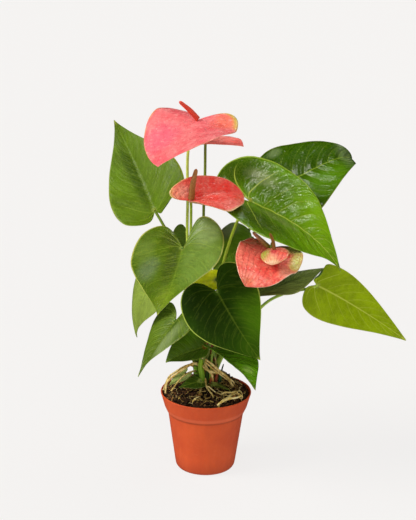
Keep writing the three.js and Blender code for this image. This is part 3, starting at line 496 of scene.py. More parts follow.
def joined(parts):
    """Several (points, faces, values) as one."""
    points, faces, values, start = [], [], {}, 0
    for p, f, v in parts:
        points.append(p)
        faces += [tuple(i + start for i in face) for face in f]
        start += len(p)
        for key, data in v.items():
            values.setdefault(key, []).append(data)
    return np.vstack(points), faces, {key: np.concatenate(data) for key, data in values.items()}


# Blades


def blade_point(leaf, x, y, side):
    """Flat coordinates (x along the midrib, y across) to a point in space."""
    which = 0 if side > 0 else 1
    length, half = leaf.length, leaf.width / 2
    back = 0.3 * length
    tx = np.linspace(-back, length, 81)
    bend = -np.radians(leaf.bend) * np.clip(tx / length, 0, None) ** leaf.power
    lift = np.radians(leaf.lobe[which]) * np.clip(-tx / back, 0, None)
    slope = np.where(tx >= 0, bend, lift)
    step = tx[1] - tx[0]
    run = np.append(0, np.cumsum((np.cos(slope[1:]) + np.cos(slope[:-1])) / 2 * step))
    rise = np.append(0, np.cumsum((np.sin(slope[1:]) + np.sin(slope[:-1])) / 2 * step))
    px = np.interp(x, tx, run - np.interp(0, tx, run))
    pz = np.interp(x, tx, rise - np.interp(0, tx, rise))
    lean = np.interp(x, tx, slope)
    s = np.abs(y)
    fold = math.radians(leaf.fold[which])
    rate = math.radians(leaf.curl[which] or 0.06) / half
    wide = (math.sin(fold) - np.sin(fold - rate * s)) / rate * side
    high = (np.cos(fold - rate * s) - math.cos(fold)) / rate
    u = np.clip(x / length, -0.3, 1)
    shift = leaf.phase + (0 if side > 0 else 0.37)
    high = high + leaf.wave * np.sin(math.tau * (1.5 * u + shift)) * (s / half) ** 2
    twist = math.radians(leaf.twist) * np.clip(u, 0, None)
    wide, high = wide * np.cos(twist) - high * np.sin(twist), wide * np.sin(twist) + high * np.cos(twist)
    az, pitch, roll = np.radians(leaf.aim)
    ahead = np.array([math.cos(az) * math.cos(pitch), math.sin(az) * math.cos(pitch), math.sin(pitch)])
    level = np.array([-math.sin(az), math.cos(az), 0])
    above = np.cross(ahead, level)
    across = level * math.cos(roll) + above * math.sin(roll)
    up = above * math.cos(roll) - level * math.sin(roll)
    out = np.asarray(leaf.at, float) + (px - high * np.sin(lean))[..., None] * ahead
    return out + wide[..., None] * across + (pz + high * np.cos(lean))[..., None] * up


def blade_normal(leaf, x, y, side):
    """Unit normal of the blade, from points close by on the same side."""
    e = 0.1
    dx = blade_point(leaf, x + e, y, side) - blade_point(leaf, x - e, y, side)
    s = np.abs(y)
    inner = np.clip(s - e, 0, None) * side
    dy = blade_point(leaf, x, (s + e) * side, side) - blade_point(leaf, x, inner, side)
    n = np.cross(dx, dy * side)
    return n / np.linalg.norm(n, axis=-1)[..., None]


def blade(
    leaf, outline, thickness, fine, columns, veins=15, groove=0.3, puff=0.35, blister=0.0, arched=False,
):
    """Closed thin blade with sunken veins. Its values hold the flat coordinates and the veins' places.

    It is a grid of rows (fine to each step of the outline) and of columns from the midrib to the
    margin. groove, puff and blister are the depth of the veins, the swelling between them and the
    lumps. Veins are counted along the margin from the stalk, or arched ones across the blade.
    """
    segments = len(outline) - 1
    rows = segments * fine
    length, half = leaf.length, leaf.width / 2
    r = np.linspace(0, segments, rows + 1)
    edge = spline(outline, r)
    rib = length * np.sin(np.clip((r - 5) / (segments - 5), 0, 1) * math.pi / 2) ** 1.15
    t = np.linspace(0, 1, columns + 1) ** 0.9
    back = np.where(edge[:, 0] < 0, leaf.lobes, 1)
    x = np.outer(rib, 1 - t) + np.outer(edge[:, 0] * back * length, t)
    first_rib = 5 * fine
    wide = np.where(edge[:, 0] > 0, np.clip(edge[:, 1], 0, None) ** leaf.full, edge[:, 1])
    index, points, normals, thick = {}, [], [], []
    corner_values = {}
    faces, corners = [], []

    def place_of(i, j, side):
        """What a grid point shares: the stalk's end, the tip, the midrib, or nothing."""
        if i == 0 or (j == 0 and i <= first_rib):
            return "stalk"
        if i == rows:
            return "tip"
        return (i, 0) if j == 0 else (i, j, side)

    for side in (1, -1):
        y = np.outer(wide * half * leaf.half[0 if side > 0 else 1] * side, t)
        place = blade_point(leaf, x, y, side)
        normal = blade_normal(leaf, x, y, side)
        other = blade_normal(leaf, x[:, :1], 0 * y[:, :1], -side)
        normal[:, :1] += other
        normal[-1:] = normal[-1:, :1]
        normal /= np.linalg.norm(normal, axis=-1)[..., None]
        if arched:
            line = 4.2 * t[None, :] + 0.25 * np.sin(r[:, None] * 0.9 + side) + 0.2
        else:
            swept = r[:, None] - 1.7 * t[None, :] - 0.4 * t[None, :] ** 2
            line = np.interp(swept, [-3, 5, 5.8, segments], [-1, 4.2, 5, veins])
        lr, lt = np.gradient(line, r, t)
        xr, xt = np.gradient(x, r, t)
        yr, yt = np.gradient(y, r, t)
        area = xr * yt - xt * yr
        area = np.where(np.abs(area) < 1, np.where(area < 0, -1, 1), area)
        gx, gy = (lr * yt - lt * yr) / area, (lt * xr - lr * xt) / area
        gap = np.clip(1 / np.maximum(np.hypot(gx, gy), 0.02), 0, 40)
        gap[:, 0] = gap[:, 1]
        gap[: first_rib + 1, 0] = 0
        away = np.abs((line + 0.5) % 1 - 0.5) * gap
        fade = np.clip(gap / 5, 0, 1) * smooth(1 - t, 0, 0.12)[None, :]
        relief = -groove * np.exp(-((away / 1.3) ** 2)) * fade
        relief += puff * (1 - np.exp(-((away / 3.5) ** 2))) * fade
        relief -= 1.5 * groove * np.exp(-((y / 1.6) ** 2)) * smooth(x, 0, 6)
        soft = noise(place, 24, 3) * 0.6 + noise(place, 10, 5) * 0.3
        relief += soft * smooth(np.abs(y), 1, 8) + blister * noise(place, 5, 7) * fade
        relief *= min(length / 90, 1) * leaf.quilt
        place = place + normal * relief[..., None]
        for i in range(rows + 1):
            for j in range(columns + 1):
                key = place_of(i, j, side)
                if key not in index:
                    index[key] = len(points)
                    points.append(place[i, j])
                    normals.append(normal[i, j])
                    thick.append(thickness * (0.5 if t[j] < 0.86 else 0.5 - 0.34 * (t[j] - 0.86) / 0.14))
                corner_values[i, j, side] = (line[i, j], gap[i, j], x[i, j], y[i, j], t[j])
        for i in range(rows):
            for j in range(columns):
                keep, seen = [], set()
                for a, b in ((i, j), (i + 1, j), (i + 1, j + 1), (i, j + 1)):
                    key = place_of(a, b, side)
                    if index[key] not in seen:
                        seen.add(index[key])
                        keep.append((index[key], corner_values[a, b, side]))
                if len(keep) > 2:
                    if side < 0:
                        keep.reverse()
                    faces.append([k[0] for k in keep])
                    corners.append([k[1] for k in keep])
    points, normals, thick = np.array(points), np.array(normals), np.array(thick)[:, None]
    count = len(points)
    both = np.vstack([points + normals * thick, points - normals * thick])
    uses = {}
    for n, face in enumerate(faces):
        for k, a in enumerate(face):
            b = face[(k + 1) % len(face)]
            uses[a, b] = (corners[n][k], corners[n][(k + 1) % len(face)])
    all_faces, data = list(faces), [c for ring in corners for c in ring]
    under = [0] * len(data)
    for face, ring in zip(faces, corners):
        all_faces.append([i + count for i in reversed(face)])
        data += list(reversed(ring))
        under += [1] * len(ring)
    for (a, b), (ca, cb) in uses.items():
        if (b, a) not in uses:
            all_faces.append([b, a, a + count, b + count])
            data += [cb, ca, ca, cb]
            under += [0.5] * 4
    data = np.array(data)
    names = ("vein", "gap", "x", "y", "out")
    values = {name: data[:, k] for k, name in enumerate(names)}
    values["under"] = np.array(under)
    return both, [tuple(f) for f in all_faces], values


# Materials


def rgb(code, gain=1.0):
    """Linear colour of an sRGB hex code."""
    channels = [((code >> shift) & 255) / 255 for shift in (16, 8, 0)]
    linear = [c / 12.92 if c < 0.04045 else ((c + 0.055) / 1.055) ** 2.4 for c in channels]
    return [min(c * gain, 1) for c in linear] + [1.0]


class Wire:
    """A node's output. Each sum, product or other arithmetic with one adds a math node."""

    def __init__(self, paint, socket):
        self.paint, self.socket = paint, socket

    def __add__(self, other):
        return self.paint.math("ADD", self, other)

    def __sub__(self, other):
        return self.paint.math("SUBTRACT", self, other)

    def __rsub__(self, other):
        return self.paint.math("SUBTRACT", other, self)

    def __mul__(self, other):
        return self.paint.math("MULTIPLY", self, other)

    def __truediv__(self, other):
        return self.paint.math("DIVIDE", self, other)


class Paint:
    """A node material: a call adds a node and returns its output. coat is the colour so far."""

    def __init__(self, name):
        self.material = bpy.data.materials.new(name)
        self.material.use_nodes = True
        self.tree = self.material.node_tree
        self.tree.nodes.clear()
        self.shader = self.tree.nodes.new("ShaderNodeBsdfPrincipled")
        end = self.tree.nodes.new("ShaderNodeOutputMaterial")
        self.tree.links.new(self.shader.outputs[0], end.inputs[0])
        self.place = self.node("TexCoord", {}, 3)
        self.coat = None

    def put(self, socket, value):
        if isinstance(value, Wire):
            self.tree.links.new(value.socket, socket)
        else:
            socket.default_value = value

    def node(self, kind, inputs, output=0, **settings):
        made = self.tree.nodes.new("ShaderNode" + kind)
        for key, value in settings.items():
            setattr(made, key, value)
        for key, value in inputs.items():
            self.put(made.inputs[key], value)
        return Wire(self, made.outputs[output])

    def math(self, operation, a, b=0.0):
        return self.node("Math", {0: a, 1: b}, operation=operation)

    def mix(self, factor, a, b):
        return self.node("Mix", {0: factor, 6: a, 7: b}, 2, data_type="RGBA")

    def value(self, name):
        return self.node("Attribute", {}, 2, attribute_name=name)

    def noise(self, size, detail=2.0, vector=None):
        """Noise with lumps of about this size in millimetres."""
        where = {"Vector": vector or self.place, "Scale": 1000 / size, "Detail": detail}
        return self.node("TexNoise", where)

    def step(self, value, low, high, a=0.0, b=1.0):
        """a below low, b above high, a soft step between; low may be above high."""
        limits = {0: value, 1: low, 2: high, 3: a, 4: b}
        return self.node("MapRange", limits, interpolation_type="SMOOTHSTEP")

    def cloud(self, size, detail, low, high, a=0.0, b=1.0):
        """Noise with its contrast raised by a soft step."""
        return self.step(self.noise(size, detail), low, high, a, b)

    def patch(self, cx, cy, wide, high, ragged=0.5, size=12):
        """1 inside a soft oval of the flat blade and 0 outside, with an uneven border."""
        dx, dy = (self.value("x") - cx) / wide, (self.value("y") - cy) / high
        far = self.math("SQRT", dx * dx + dy * dy)
        return self.step(far + (self.noise(size, 3) - 0.5) * ragged, 1.3, 0.35)

    def over(self, mask, colour, gain=1.0):
        """Lays a colour over the coat as far as the mask says."""
        self.coat = self.mix(mask, self.coat, rgb(colour, gain))

    def done(self, roughness, height=None, distance=0.3, **constants):
        """Sets the shader. The bump's distance is in millimetres."""
        self.put(self.shader.inputs["Base Color"], self.coat)
        self.put(self.shader.inputs["Roughness"], roughness)
        if height is not None:
            bump = {"Strength": 1.0, "Distance": distance * MM, "Height": height}
            self.put(self.shader.inputs["Normal"], self.node("Bump", bump))
        for key, value in constants.items():
            self.put(self.shader.inputs[key.replace("_", " ")], value)
        return self.material


def leaf_paint(leaf):
    """Glossy green blade: clouds, patches of painted shade, painted sheen and painted light, pale veins,
    a fine net, painted light and shade along the creases, a pale margin and a lighter underside.
    """
    p = Paint(leaf.name)
    x, out, vein, gap = p.value("x"), p.value("out"), p.value("vein"), p.value("gap")
    # Colour of the blade, and the patches on it: mostly painted shade, painted sheen and painted light
    cloud = p.step(p.noise(32, 3) * 0.6 + p.noise(7, 3) * 0.4, 0.38, 0.62)
    p.coat = p.mix(cloud, rgb(leaf.colour, 0.86), rgb(leaf.colour, 1.14))
    for cx, cy, wide, high, colour, amount in leaf.zones:
        tint = p.mix(cloud, rgb(colour, 0.9), rgb(colour, 1.1))
        p.coat = p.mix(p.patch(cx, cy, wide, high) * amount, p.coat, tint)
    # Side veins, the midrib, the fine net, and painted light and shade along the creases
    away = p.math("PINGPONG", vein, 0.5) * gap
    line = p.step(away / (1.0 - out * 0.62), 1.2, 0.1) * p.step(out, 0.97, 0.6)
    basal = p.step(vein, 4.7, 4.3, leaf.veins, leaf.basal or min(1.6 * leaf.veins, 1))
    thick = p.step(x, 0.0, leaf.length, 1.6, 0.45)
    middle = p.step(p.math("ABSOLUTE", p.value("y")) / thick, 1.0, 0.4) * p.step(x, -3, 1)
    cells = p.node("TexVoronoi", {"Vector": p.place, "Scale": 330.0}, feature="DISTANCE_TO_EDGE")
    net = p.step(cells, 0.16, 0.0)
    crease = p.math("SINE", vein * (6 * math.pi) + p.noise(10, 3) * 9.0) * p.cloud(9, 2, 0.4, 0.6)
    # Painted light on the creases' crests, and painted shade in their troughs as a darker copy of the
    # blade's colour
    p.over(p.step(crease, 0.2, 1.0, 0.0, leaf.creased), leaf.pale)
    p.over(p.step(crease, -0.2, -1.0, 0.0, leaf.creased), leaf.colour, 0.4)
    p.over(net * (leaf.net + 0.12 * leaf.veins), leaf.pale)
    p.over(line * basal, leaf.pale)
    p.over(middle * leaf.rib, leaf.pale)
    # The knot at the stalk, the margin, the tip and the underside
    knot = p.node("VectorMath", {0: p.place, 1: [v * MM for v in leaf.at]}, 1, operation="DISTANCE")
    p.over(p.step(knot, 5.5 * MM, 1.5 * MM) * 0.7, leaf.knot)
    p.over(p.step(out, 0.962, 0.99) * leaf.edge, leaf.rim)
    p.over(p.step(x, 0.93 * leaf.length, leaf.length) * 0.6, leaf.rim)
    below = p.mix(p.math("MAXIMUM", line, middle) * 0.6, rgb(0x5e7f3c), rgb(leaf.pale))
    p.coat = p.mix(p.step(p.value("under"), 0.4, 0.6), p.coat, below)
    rough = p.cloud(14, 3, 0.3, 0.7, leaf.rough - 0.05, leaf.rough + 0.1)
    # Bump: grain, net, sunken veins, the swelling between them, creases and pits
    height = p.noise(1.3, 2) * 0.3 + net * -0.3 - line * 0.5
    swell = p.math("COSINE", vein * math.tau) * p.step(gap, 2, 9, 0.0, -leaf.pillow)
    height = height + swell * p.cloud(17, 2, 0.38, 0.6, 0.15, 1.0)
    height = height + crease * leaf.streaks + p.noise(5, 3) * leaf.pitted
    return p.done(rough, height, 0.25, Specular_IOR_Level=leaf.shine)


def spathe_paint(bloom):
    """Waxy coral spathe: blistered between fine veins, mottled, with a tinted margin."""
    p = Paint(bloom.name + "_spathe")
    out = p.value("out")
    p.coat = p.mix(p.cloud(13, 4, 0.32, 0.68), rgb(bloom.colour), rgb(bloom.mottle))
    for cx, cy, wide, high, colour, amount, *start in bloom.zones:
        mask = p.patch(cx, cy, wide, high, 0.6, 9) * amount
        if start:
            mask = mask * p.step(out, start[0], 1.0)
        p.over(mask, colour)
    away = p.math("PINGPONG", p.value("vein") + (p.noise(14, 2) - 0.5) * 1.2, 0.5)
    line = p.step(away * p.value("gap"), 0.9, 0.1)
    # Cells with bent borders, for the blisters and the net between them
    bent = p.node("TexNoise", {"Vector": p.place, "Scale": 160.0, "Detail": 2.0}, 1)
    bent = p.node("VectorMath", {0: bent, "Scale": 0.004}, operation="SCALE")
    where = p.node("VectorMath", {0: p.place, 1: bent}, operation="ADD")
    cells = p.node("TexVoronoi", {"Vector": where, "Scale": bloom.cells}, feature="DISTANCE_TO_EDGE")
    p.over(p.cloud(3.2, 3, 0.5, 0.68, 0.0, bloom.deep), bloom.vein)
    p.over(p.step(p.noise(4.4, 3, where), 0.54, 0.7, 0.0, bloom.light), bloom.pale)
    p.over(line * bloom.lines, bloom.vein)
    p.over(p.step(cells, 0.2, 0.0) * bloom.net, bloom.vein)
    rim = p.step(out, bloom.rim_from, 1.0) * p.cloud(15, 2, 0.3, 0.6)
    p.over(rim * bloom.edge, bloom.rim)
    below = p.mix(line * 0.4, rgb(0xf09a84), rgb(0xd8a468))
    p.coat = p.mix(p.step(p.value("under"), 0.4, 0.6), p.coat, below)
    rough = p.cloud(9, 3, 0.3, 0.7, 0.24, 0.4)
    height = cells * bloom.blister - line * 0.4 + p.noise(5, 2, where) * (bloom.blister * 1.6)
    height = height + p.noise(1.1, 2) * 0.25
    return p.done(rough, height, 0.5, Specular_IOR_Level=0.45, Coat_Weight=0.12, Coat_Roughness=0.2)


def stalk_paint(name, foot, head, side=0x6e8a30, rough=0.42):
    """Smooth stalk: its colour changes from foot to head, with fine long streaks."""
    p = Paint(name)
    along = p.value("length")
    ridge = p.math("SINE", p.value("turn") * 7.0)
    p.coat = p.mix(p.step(along, 0.05, 0.9), rgb(foot), rgb(head))
    p.over(p.step(ridge * 0.25 + p.noise(5, 3), 0.2, 0.95, 0.0, 0.5), side)
    p.over(p.cloud(1.6, 2, 0.66, 0.74, 0.0, 0.35), 0x5a4a24)
    p.over(p.step(along, 0.86, 0.9) * 0.35, 0x8a7a3a)
    return p.done(rough, ridge * 0.3 + p.noise(0.9, 2), 0.12)


def spadix_paint(bloom):
    """Waxy spike: dark between the florets, with a pale stigma on each."""
    p = Paint(bloom.name + "_spadix")
    foot, floret = bloom.spike, p.value("floret")
    p.coat = p.mix(p.step(p.value("length"), 0.1, 0.9), rgb(foot), rgb(bloom.spike_tip or foot))
    p.over(p.cloud(2.4, 3, 0.35, 0.7, 0.0, 0.6), foot, 0.6)
    p.over(p.step(floret, 0.5, 0.0, 0.0, 0.8), foot, 0.3)
    p.over(p.step(floret, 0.8, 1.0, 0.0, 0.5), bloom.stigma)
    return p.done(p.cloud(1.5, 2, 0.3, 0.7, 0.4, 0.6), p.noise(0.5, 2), 0.1)


def crown_paint(name, green, brown):
    """Ringed bark: green and brown in patches, with dark specks."""
    p = Paint(name)
    band = p.math("SINE", p.value("length") * 90.0)
    p.coat = p.mix(p.step(p.noise(5, 4) + band * 0.1, 0.42, 0.6), rgb(green), rgb(brown))
    p.over(p.cloud(1.4, 3, 0.55, 0.75, 0.0, 0.6), 0x3c2a18)
    return p.done(p.cloud(3, 2, 0.3, 0.7, 0.5, 0.8), p.noise(0.8, 4) + band, 0.4)


def root_paint(name, low, high, dark, spots):
    """Dry or living root: two tones, darker specks, rings and a rough skin."""
    p = Paint(name)
    p.coat = p.mix(p.cloud(6, 4, 0.35, 0.65), rgb(low), rgb(high))
    p.over(p.cloud(1.6, 3, 0.52, 0.7, 0.0, spots), dark)
    height = p.noise(0.7, 4) + p.math("SINE", p.value("length") * 160.0) * 0.25
    return p.done(p.cloud(2, 2, 0.3, 0.7, 0.65, 0.9), height, 0.35)


# Heights on the pot, in metres: the lip of the collar, with its painted highlight, and the step
# under it, with its painted shadow
COLLAR_LIP = 0.0728
COLLAR_STEP = 0.0694


def pot_paint():
    """Matte moulded plastic: faint clouds, fine turning lines and small scuffs, darker towards the foot.

    The collar's lip gets a painted highlight and the step under the collar a painted shadow.
    """
    p = Paint("pot_plastic")
    z = p.node("SeparateXYZ", {0: p.place}, 2)
    tall = p.node("VectorMath", {0: p.place, 1: (1, 1, 0.05)}, operation="MULTIPLY")
    p.coat = p.mix(p.cloud(30, 4, 0.3, 0.7), rgb(0xc6491c), rgb(0xd05220))
    p.over(p.step(p.noise(4, 3, tall), 0.4, 0.65, 0.0, 0.12), 0xb04018)
    p.over(p.cloud(3, 3, 0.58, 0.75, 0.0, 0.2), 0xd0703c)
    # Darker towards the foot
    p.over(p.step(z, 0.022, 0.0, 0.0, 0.35), 0x8c3414)
    # Painted highlight: a lighter band along the collar's lip
    lip = p.math("ABSOLUTE", z - COLLAR_LIP)
    p.over(p.step(lip, 0.004, 0.001, 0.0, 0.4), 0xe87048)
    # Painted shadow: a dark band just under the collar's overhang
    collar_shadow = p.math("ABSOLUTE", z - COLLAR_STEP)
    p.over(p.step(collar_shadow, 0.0026, 0.0004, 0.0, 0.4), 0x84340f)
    height = p.math("SINE", z * 5200.0) * 0.12 + p.noise(0.6, 3)
    return p.done(p.cloud(7, 3, 0.3, 0.7, 0.5, 0.66), height, 0.1, Specular_IOR_Level=0.35)


def soil_paint():
    """Dark peat with brown flecks."""
    p = Paint("potting_mix")
    p.coat = p.mix(p.cloud(6, 5, 0.3, 0.7), rgb(0x100906), rgb(0x382414))
    p.over(p.cloud(1.2, 3, 0.5, 0.75, 0.0, 0.8), 0x5c4028)
    return p.done(0.95, p.noise(0.8, 5), 0.9, Specular_IOR_Level=0.2)


def crumb_paint(name, dark, mid, light):
    """Loose bits, each with a tint of its own."""
    p = Paint(name)
    tint = p.value("tint")
    p.coat = p.mix(p.step(tint, 0.1, 0.6), rgb(dark), rgb(mid))
    p.over(p.step(tint, 0.75, 1.0), light)
    p.over(p.cloud(0.9, 3, 0.4, 0.75, 0.0, 0.5), dark, 0.8)
    return p.done(0.9, p.noise(0.5, 4), 0.3, Specular_IOR_Level=0.25)


# Leaves and their stalks


def petiole(leaf, radius):
    """Stalk of a leaf: grooved, thicker at its foot and swollen just under the blade."""
    above = blade_normal(leaf, np.array([[2.0]]), np.array([[0.01]]), 1)[0, 0]
    route = leaf.stalk + [leaf.at, (np.array(leaf.at) + 0.7 * above).tolist()]

    def radius_at(f):
        foot, knee = 1 + 0.35 * (1 - f) ** 3, 1 + 0.25 * smooth(f, 0.85, 0.9)
        return radius * foot * knee * (1 - 0.45 * smooth(f, 0.97, 1))

    def relief(f, turn):
        groove = np.exp(-(((turn - 1.57) / 0.5) ** 2)) * (f < 0.85)
        return 0.05 * np.sin(7 * turn) - 0.22 * radius * groove

    return tube(route, 70, 16, radius_at, relief)


def put_leaf(leaf, body, radius):
    """The two pieces of a leaf, from its blade's body and its stalk's radius."""
    name = leaf.name
    shape(name + "_blade", body, leaf_paint(leaf), [name])
    paint = stalk_paint(name + "_petiole", *leaf.stem)
    shape(name + "_petiole", petiole(leaf, radius), paint, [name])


for row in LEAVES:
    leaf = SimpleNamespace(**{**LEAF_DEFAULTS, **row})
    fine, columns = (6, 14) if leaf.length > 80 else (5, 11)
    put_leaf(leaf, blade(leaf, LEAF_OUTLINE, 0.55, fine, columns), 1.6 if leaf.length > 60 else 1.2)

for row in SMALL_LEAVES:
    leaf = SimpleNamespace(**{**LEAF_DEFAULTS, "stem": (0x6f7a34, 0x5f7a3c), **row})
    put_leaf(leaf, blade(leaf, LEAF_OUTLINE, 0.5, 4, 8, veins=7), 0.9)


# Blooms


def spadix(bloom):
    """Tapered spike covered by a spiral lattice of florets."""
    size = np.linalg.norm(np.subtract(bloom.spadix[-1], bloom.spadix[0]))
    around, sides = 9, 54
    rows = round(size / 1.55)
    rings = min(150, rows * 7)

    def lattice(f, turn):
        a = around * turn / math.tau + rows * f
        b = around * turn / math.tau - rows * f
        return (1 - (2 * np.abs((a + 0.5) % 1 - 0.5)) ** 2) * (1 - (2 * np.abs((b + 0.5) % 1 - 0.5)) ** 2)

    def radius_at(f):
        return tapered(bloom.thick)(f) * math.sqrt(max(1 - (max(f - 0.9, 0) / 0.1) ** 2, 0.02))

    def relief(f, turn):
        return (0.5 * lattice(f, turn) - 0.2) * (0.3 if f > 0.97 else 1)

    points, faces, values = tube(bloom.spadix, rings, sides, radius_at, relief)
    floret = [lattice(f, np.arange(sides) / sides * math.tau) for f in np.linspace(0, 1, rings + 1)]
    values["floret"] = np.append(np.concatenate(floret), [0.5, 0.5])
    return points, faces, values


for row in BLOOMS:
    bloom = SimpleNamespace(**{**SPATHE_DEFAULTS, **row})
    radius = 1.1 if bloom.length < 40 else 1.5
    spathe = blade(
        bloom, SPATHE_OUTLINE, 0.8, 7, 18, groove=0.2, puff=0.25, blister=0.3, arched=True,
    )
    stalk = tube(
        bloom.stalk + [bloom.at], 80, 16,
        lambda f: radius * (1 + 0.2 * (1 - f) ** 2), lambda f, turn: 0.05 * np.sin(6 * turn),
    )
    for part, body, paint in (
        ("_spathe", spathe, spathe_paint(bloom)),
        ("_stalk", stalk, stalk_paint(bloom.name + "_stalk", *bloom.stem)),
        ("_spadix", spadix(bloom), spadix_paint(bloom)),
    ):
        node = bloom.name + part
        shape(node + "_skin", body, paint, [node])


# Crowns, roots, the sheath, stubs and straw-coloured roots


def bark(scale, seed):
    """Uneven relief of a tube, for its relief argument."""
    def relief(f, turn):
        where = np.stack([np.cos(turn) * 5, np.sin(turn) * 5, np.full_like(turn, f * 70)], axis=-1)
        return scale * (noise(where, 3, seed) + 0.5 * noise(where, 1.2, seed + 1))
    return relief


for seed, (name, foot, top, radius, green, brown) in enumerate(CROWNS):
    def radius_at(f):
        scar = 0.45 * max(math.sin(f * 44), 0) ** 2
        return radius * (1 - 0.25 * f) * (1 - 0.35 * smooth(f, 0.93, 1)) + scar

    body = tube([foot, top], 90, 36, radius_at, bark(0.35, seed))
    shape(name + "_skin", body, crown_paint(name, green, brown), [name])

root_skin = root_paint("aerial_root", 0xb09040, 0xe8d088, 0x5a4224, 0.75)
for seed, (name, radius, axis) in enumerate(ROOTS, 20):
    body = tube(axis, 70, 16, lambda f: radius * (1 - 0.25 * f), bark(0.22, seed))
    shape(name + "_skin", body, root_skin, [name])

body = tube(SHEATH["axis"], 40, 24, tapered(SHEATH["thick"]), bark(0.3, 40))
shape("sheath_skin", body, crown_paint("sheath", 0x8a5a34, 0x6b3a22), ["sheath"])

for seed, (name, crown, colour, brown, thick, axis) in enumerate(STUBS, 60):
    body = tube(axis, 40, 16, tapered(thick), bark(0.18, seed))
    shape(name, body, stalk_paint(name, colour, brown, brown, 0.55), [crown])

for name, colours, strands in STRAW:
    parts = [
        tube(axis, 60, 12, lambda f: radius * (1.1 - 0.4 * f), bark(0.07 * radius, seed))
        for seed, (radius, axis) in enumerate(strands, 80)
    ]
    shape(name, joined(parts), root_paint(name, *colours, 0.45), ["root_right_high"])


# Pot


def rounded(profile, reach):
    """A profile with each inner corner turned into a small arc."""
    out = [profile[0]]
    for a, b, c in zip(profile, profile[1:], profile[2:]):
        a, b, c = np.array(a, float), np.array(b, float), np.array(c, float)
        one = min(reach, np.linalg.norm(a - b) * 0.4)
        two = min(reach, np.linalg.norm(c - b) * 0.4)
        start = b + (a - b) / np.linalg.norm(a - b) * one
        end = b + (c - b) / np.linalg.norm(c - b) * two
        for t in (0, 0.33, 0.67, 1):
            out.append(tuple((1 - t) ** 2 * start + 2 * t * (1 - t) * b + t * t * end))
    return out + [profile[-1]]


def turned(profile, sides):
    """Closed body of revolution from a profile of (radius, height) that starts and ends on the axis."""
    turn = np.arange(sides) / sides * math.tau
    rings = [(r, z) for r, z in profile if r > 0]
    points = [[r * math.cos(a), r * math.sin(a), z] for r, z in rings for a in turn]
    points += [[0, 0, profile[0][1]], [0, 0, profile[-1][1]]]
    return np.array(points), ring_faces(len(rings), sides), {}


POT_PROFILE = [
    (0, 0), (19, 0), (20, 1.2), (28, 1.2), (29, 0), (31, 0), (33, 1), (34.5, 3.4), (35.3, 8),
    (43.9, 69.4), (45, 70), (47.9, 76.5), (51.7, 90), (52.5, 92), (52.2, 93), (50.9, 93),
    (50.1, 90), (46.3, 76.5), (43.4, 70.8), (42.3, 69.4), (33.7, 8), (31, 3.4), (0, 3.4),
]
DRAIN_HOLES, DRAIN_RADIUS, DRAIN_REACH = 6, 4, 25
pot = shape("pot_skin", turned(rounded(POT_PROFILE, 0.9), 120), pot_paint(), ["pot"])
cutters = []
for i in range(DRAIN_HOLES):
    angle = (i + 0.5) / DRAIN_HOLES * math.tau
    x, y = DRAIN_REACH * MM * math.cos(angle), DRAIN_REACH * MM * math.sin(angle)
    bpy.ops.mesh.primitive_cylinder_add(
        vertices=28, radius=DRAIN_RADIUS * MM, depth=12 * MM, location=(x, y, 2 * MM),
    )
    cutters.append(bpy.context.object)
for cutter in cutters:
    cut = pot.modifiers.new("hole", "BOOLEAN")
    cut.operation, cut.solver, cut.object = "DIFFERENCE", "EXACT", cutter
bpy.context.view_layer.update()
whole = bpy.data.meshes.new_from_object(pot.evaluated_get(bpy.context.evaluated_depsgraph_get()))
pot.modifiers.clear()
pot.data = whole
for cutter in cutters:
    bpy.data.objects.remove(cutter)
whole.polygons.foreach_set("use_smooth", [True] * len(whole.polygons))
whole.set_sharp_from_angle(angle=math.radians(32))


# Soil and what lies in it


def soil_height(x, y):
    """Smooth top of the mounded soil, with a bump behind the stems."""
    r = np.minimum(np.hypot(x, y) / 50, 1)
    bump = 9 * np.exp(-((x - 17) ** 2 + (y - 24) ** 2) / 300)
    return 90.5 + 12 * (1 - r * r) + bump * (1 - r**4)


SOIL_SIDES, SOIL_FOOT = 150, 3.75
rings = [(30, SOIL_FOOT), (33.1, 8), (41.7, 69.4), (42.8, 70.8), (45.7, 76.5), (49.3, 89.7)]
turn = np.arange(SOIL_SIDES) / SOIL_SIDES * math.tau
points = [[r * math.cos(a), r * math.sin(a), z] for r, z in rings for a in turn]
for r in np.linspace(49, 0.8, 62):
    x, y = r * np.cos(turn), r * np.sin(turn)
    flat = np.stack([x, y, 0 * x], axis=-1)
    rough = 1.3 * noise(flat, 7, 1) + 0.9 * noise(flat, 3, 2) + 0.5 * noise(flat, 1.4, 3)
    z = soil_height(x, y) + rough * (1 if r < 47 else 0.5)
    points += np.stack([x, y, z], axis=-1).tolist()
faces = ring_faces(len(points) // SOIL_SIDES, SOIL_SIDES)
points += [[0, 0, SOIL_FOOT], [0, 0, float(soil_height(0, 0))]]
shape("soil_skin", (points, faces, {}), soil_paint(), ["soil"])

# A regular icosahedron of radius 1, with edges just over 1.05 long, as the start of each crumb
ICO = []
GOLD = (1 + 5**0.5) / 2
for a, b in ((-1, GOLD), (1, GOLD), (-1, -GOLD), (1, -GOLD)):
    ICO += [(a, b, 0), (0, a, b), (b, 0, a)]
ICO = np.array(ICO) / np.linalg.norm(ICO[0])
ICO_FACES = []
for a, b, c in itertools.combinations(range(12), 3):
    if max(np.linalg.norm(ICO[i] - ICO[j]) for i, j in ((a, b), (b, c), (c, a))) < 1.2:
        out = np.cross(ICO[b] - ICO[a], ICO[c] - ICO[a]) @ ICO[a] > 0
        ICO_FACES.append((a, b, c) if out else (a, c, b))


def spot(rng, reach, power=0.5):
    """A random place on the soil, within reach of its middle."""
    r, a = reach * rng.uniform() ** power, rng.uniform(0, math.tau)
    return r * math.cos(a), r * math.sin(a)


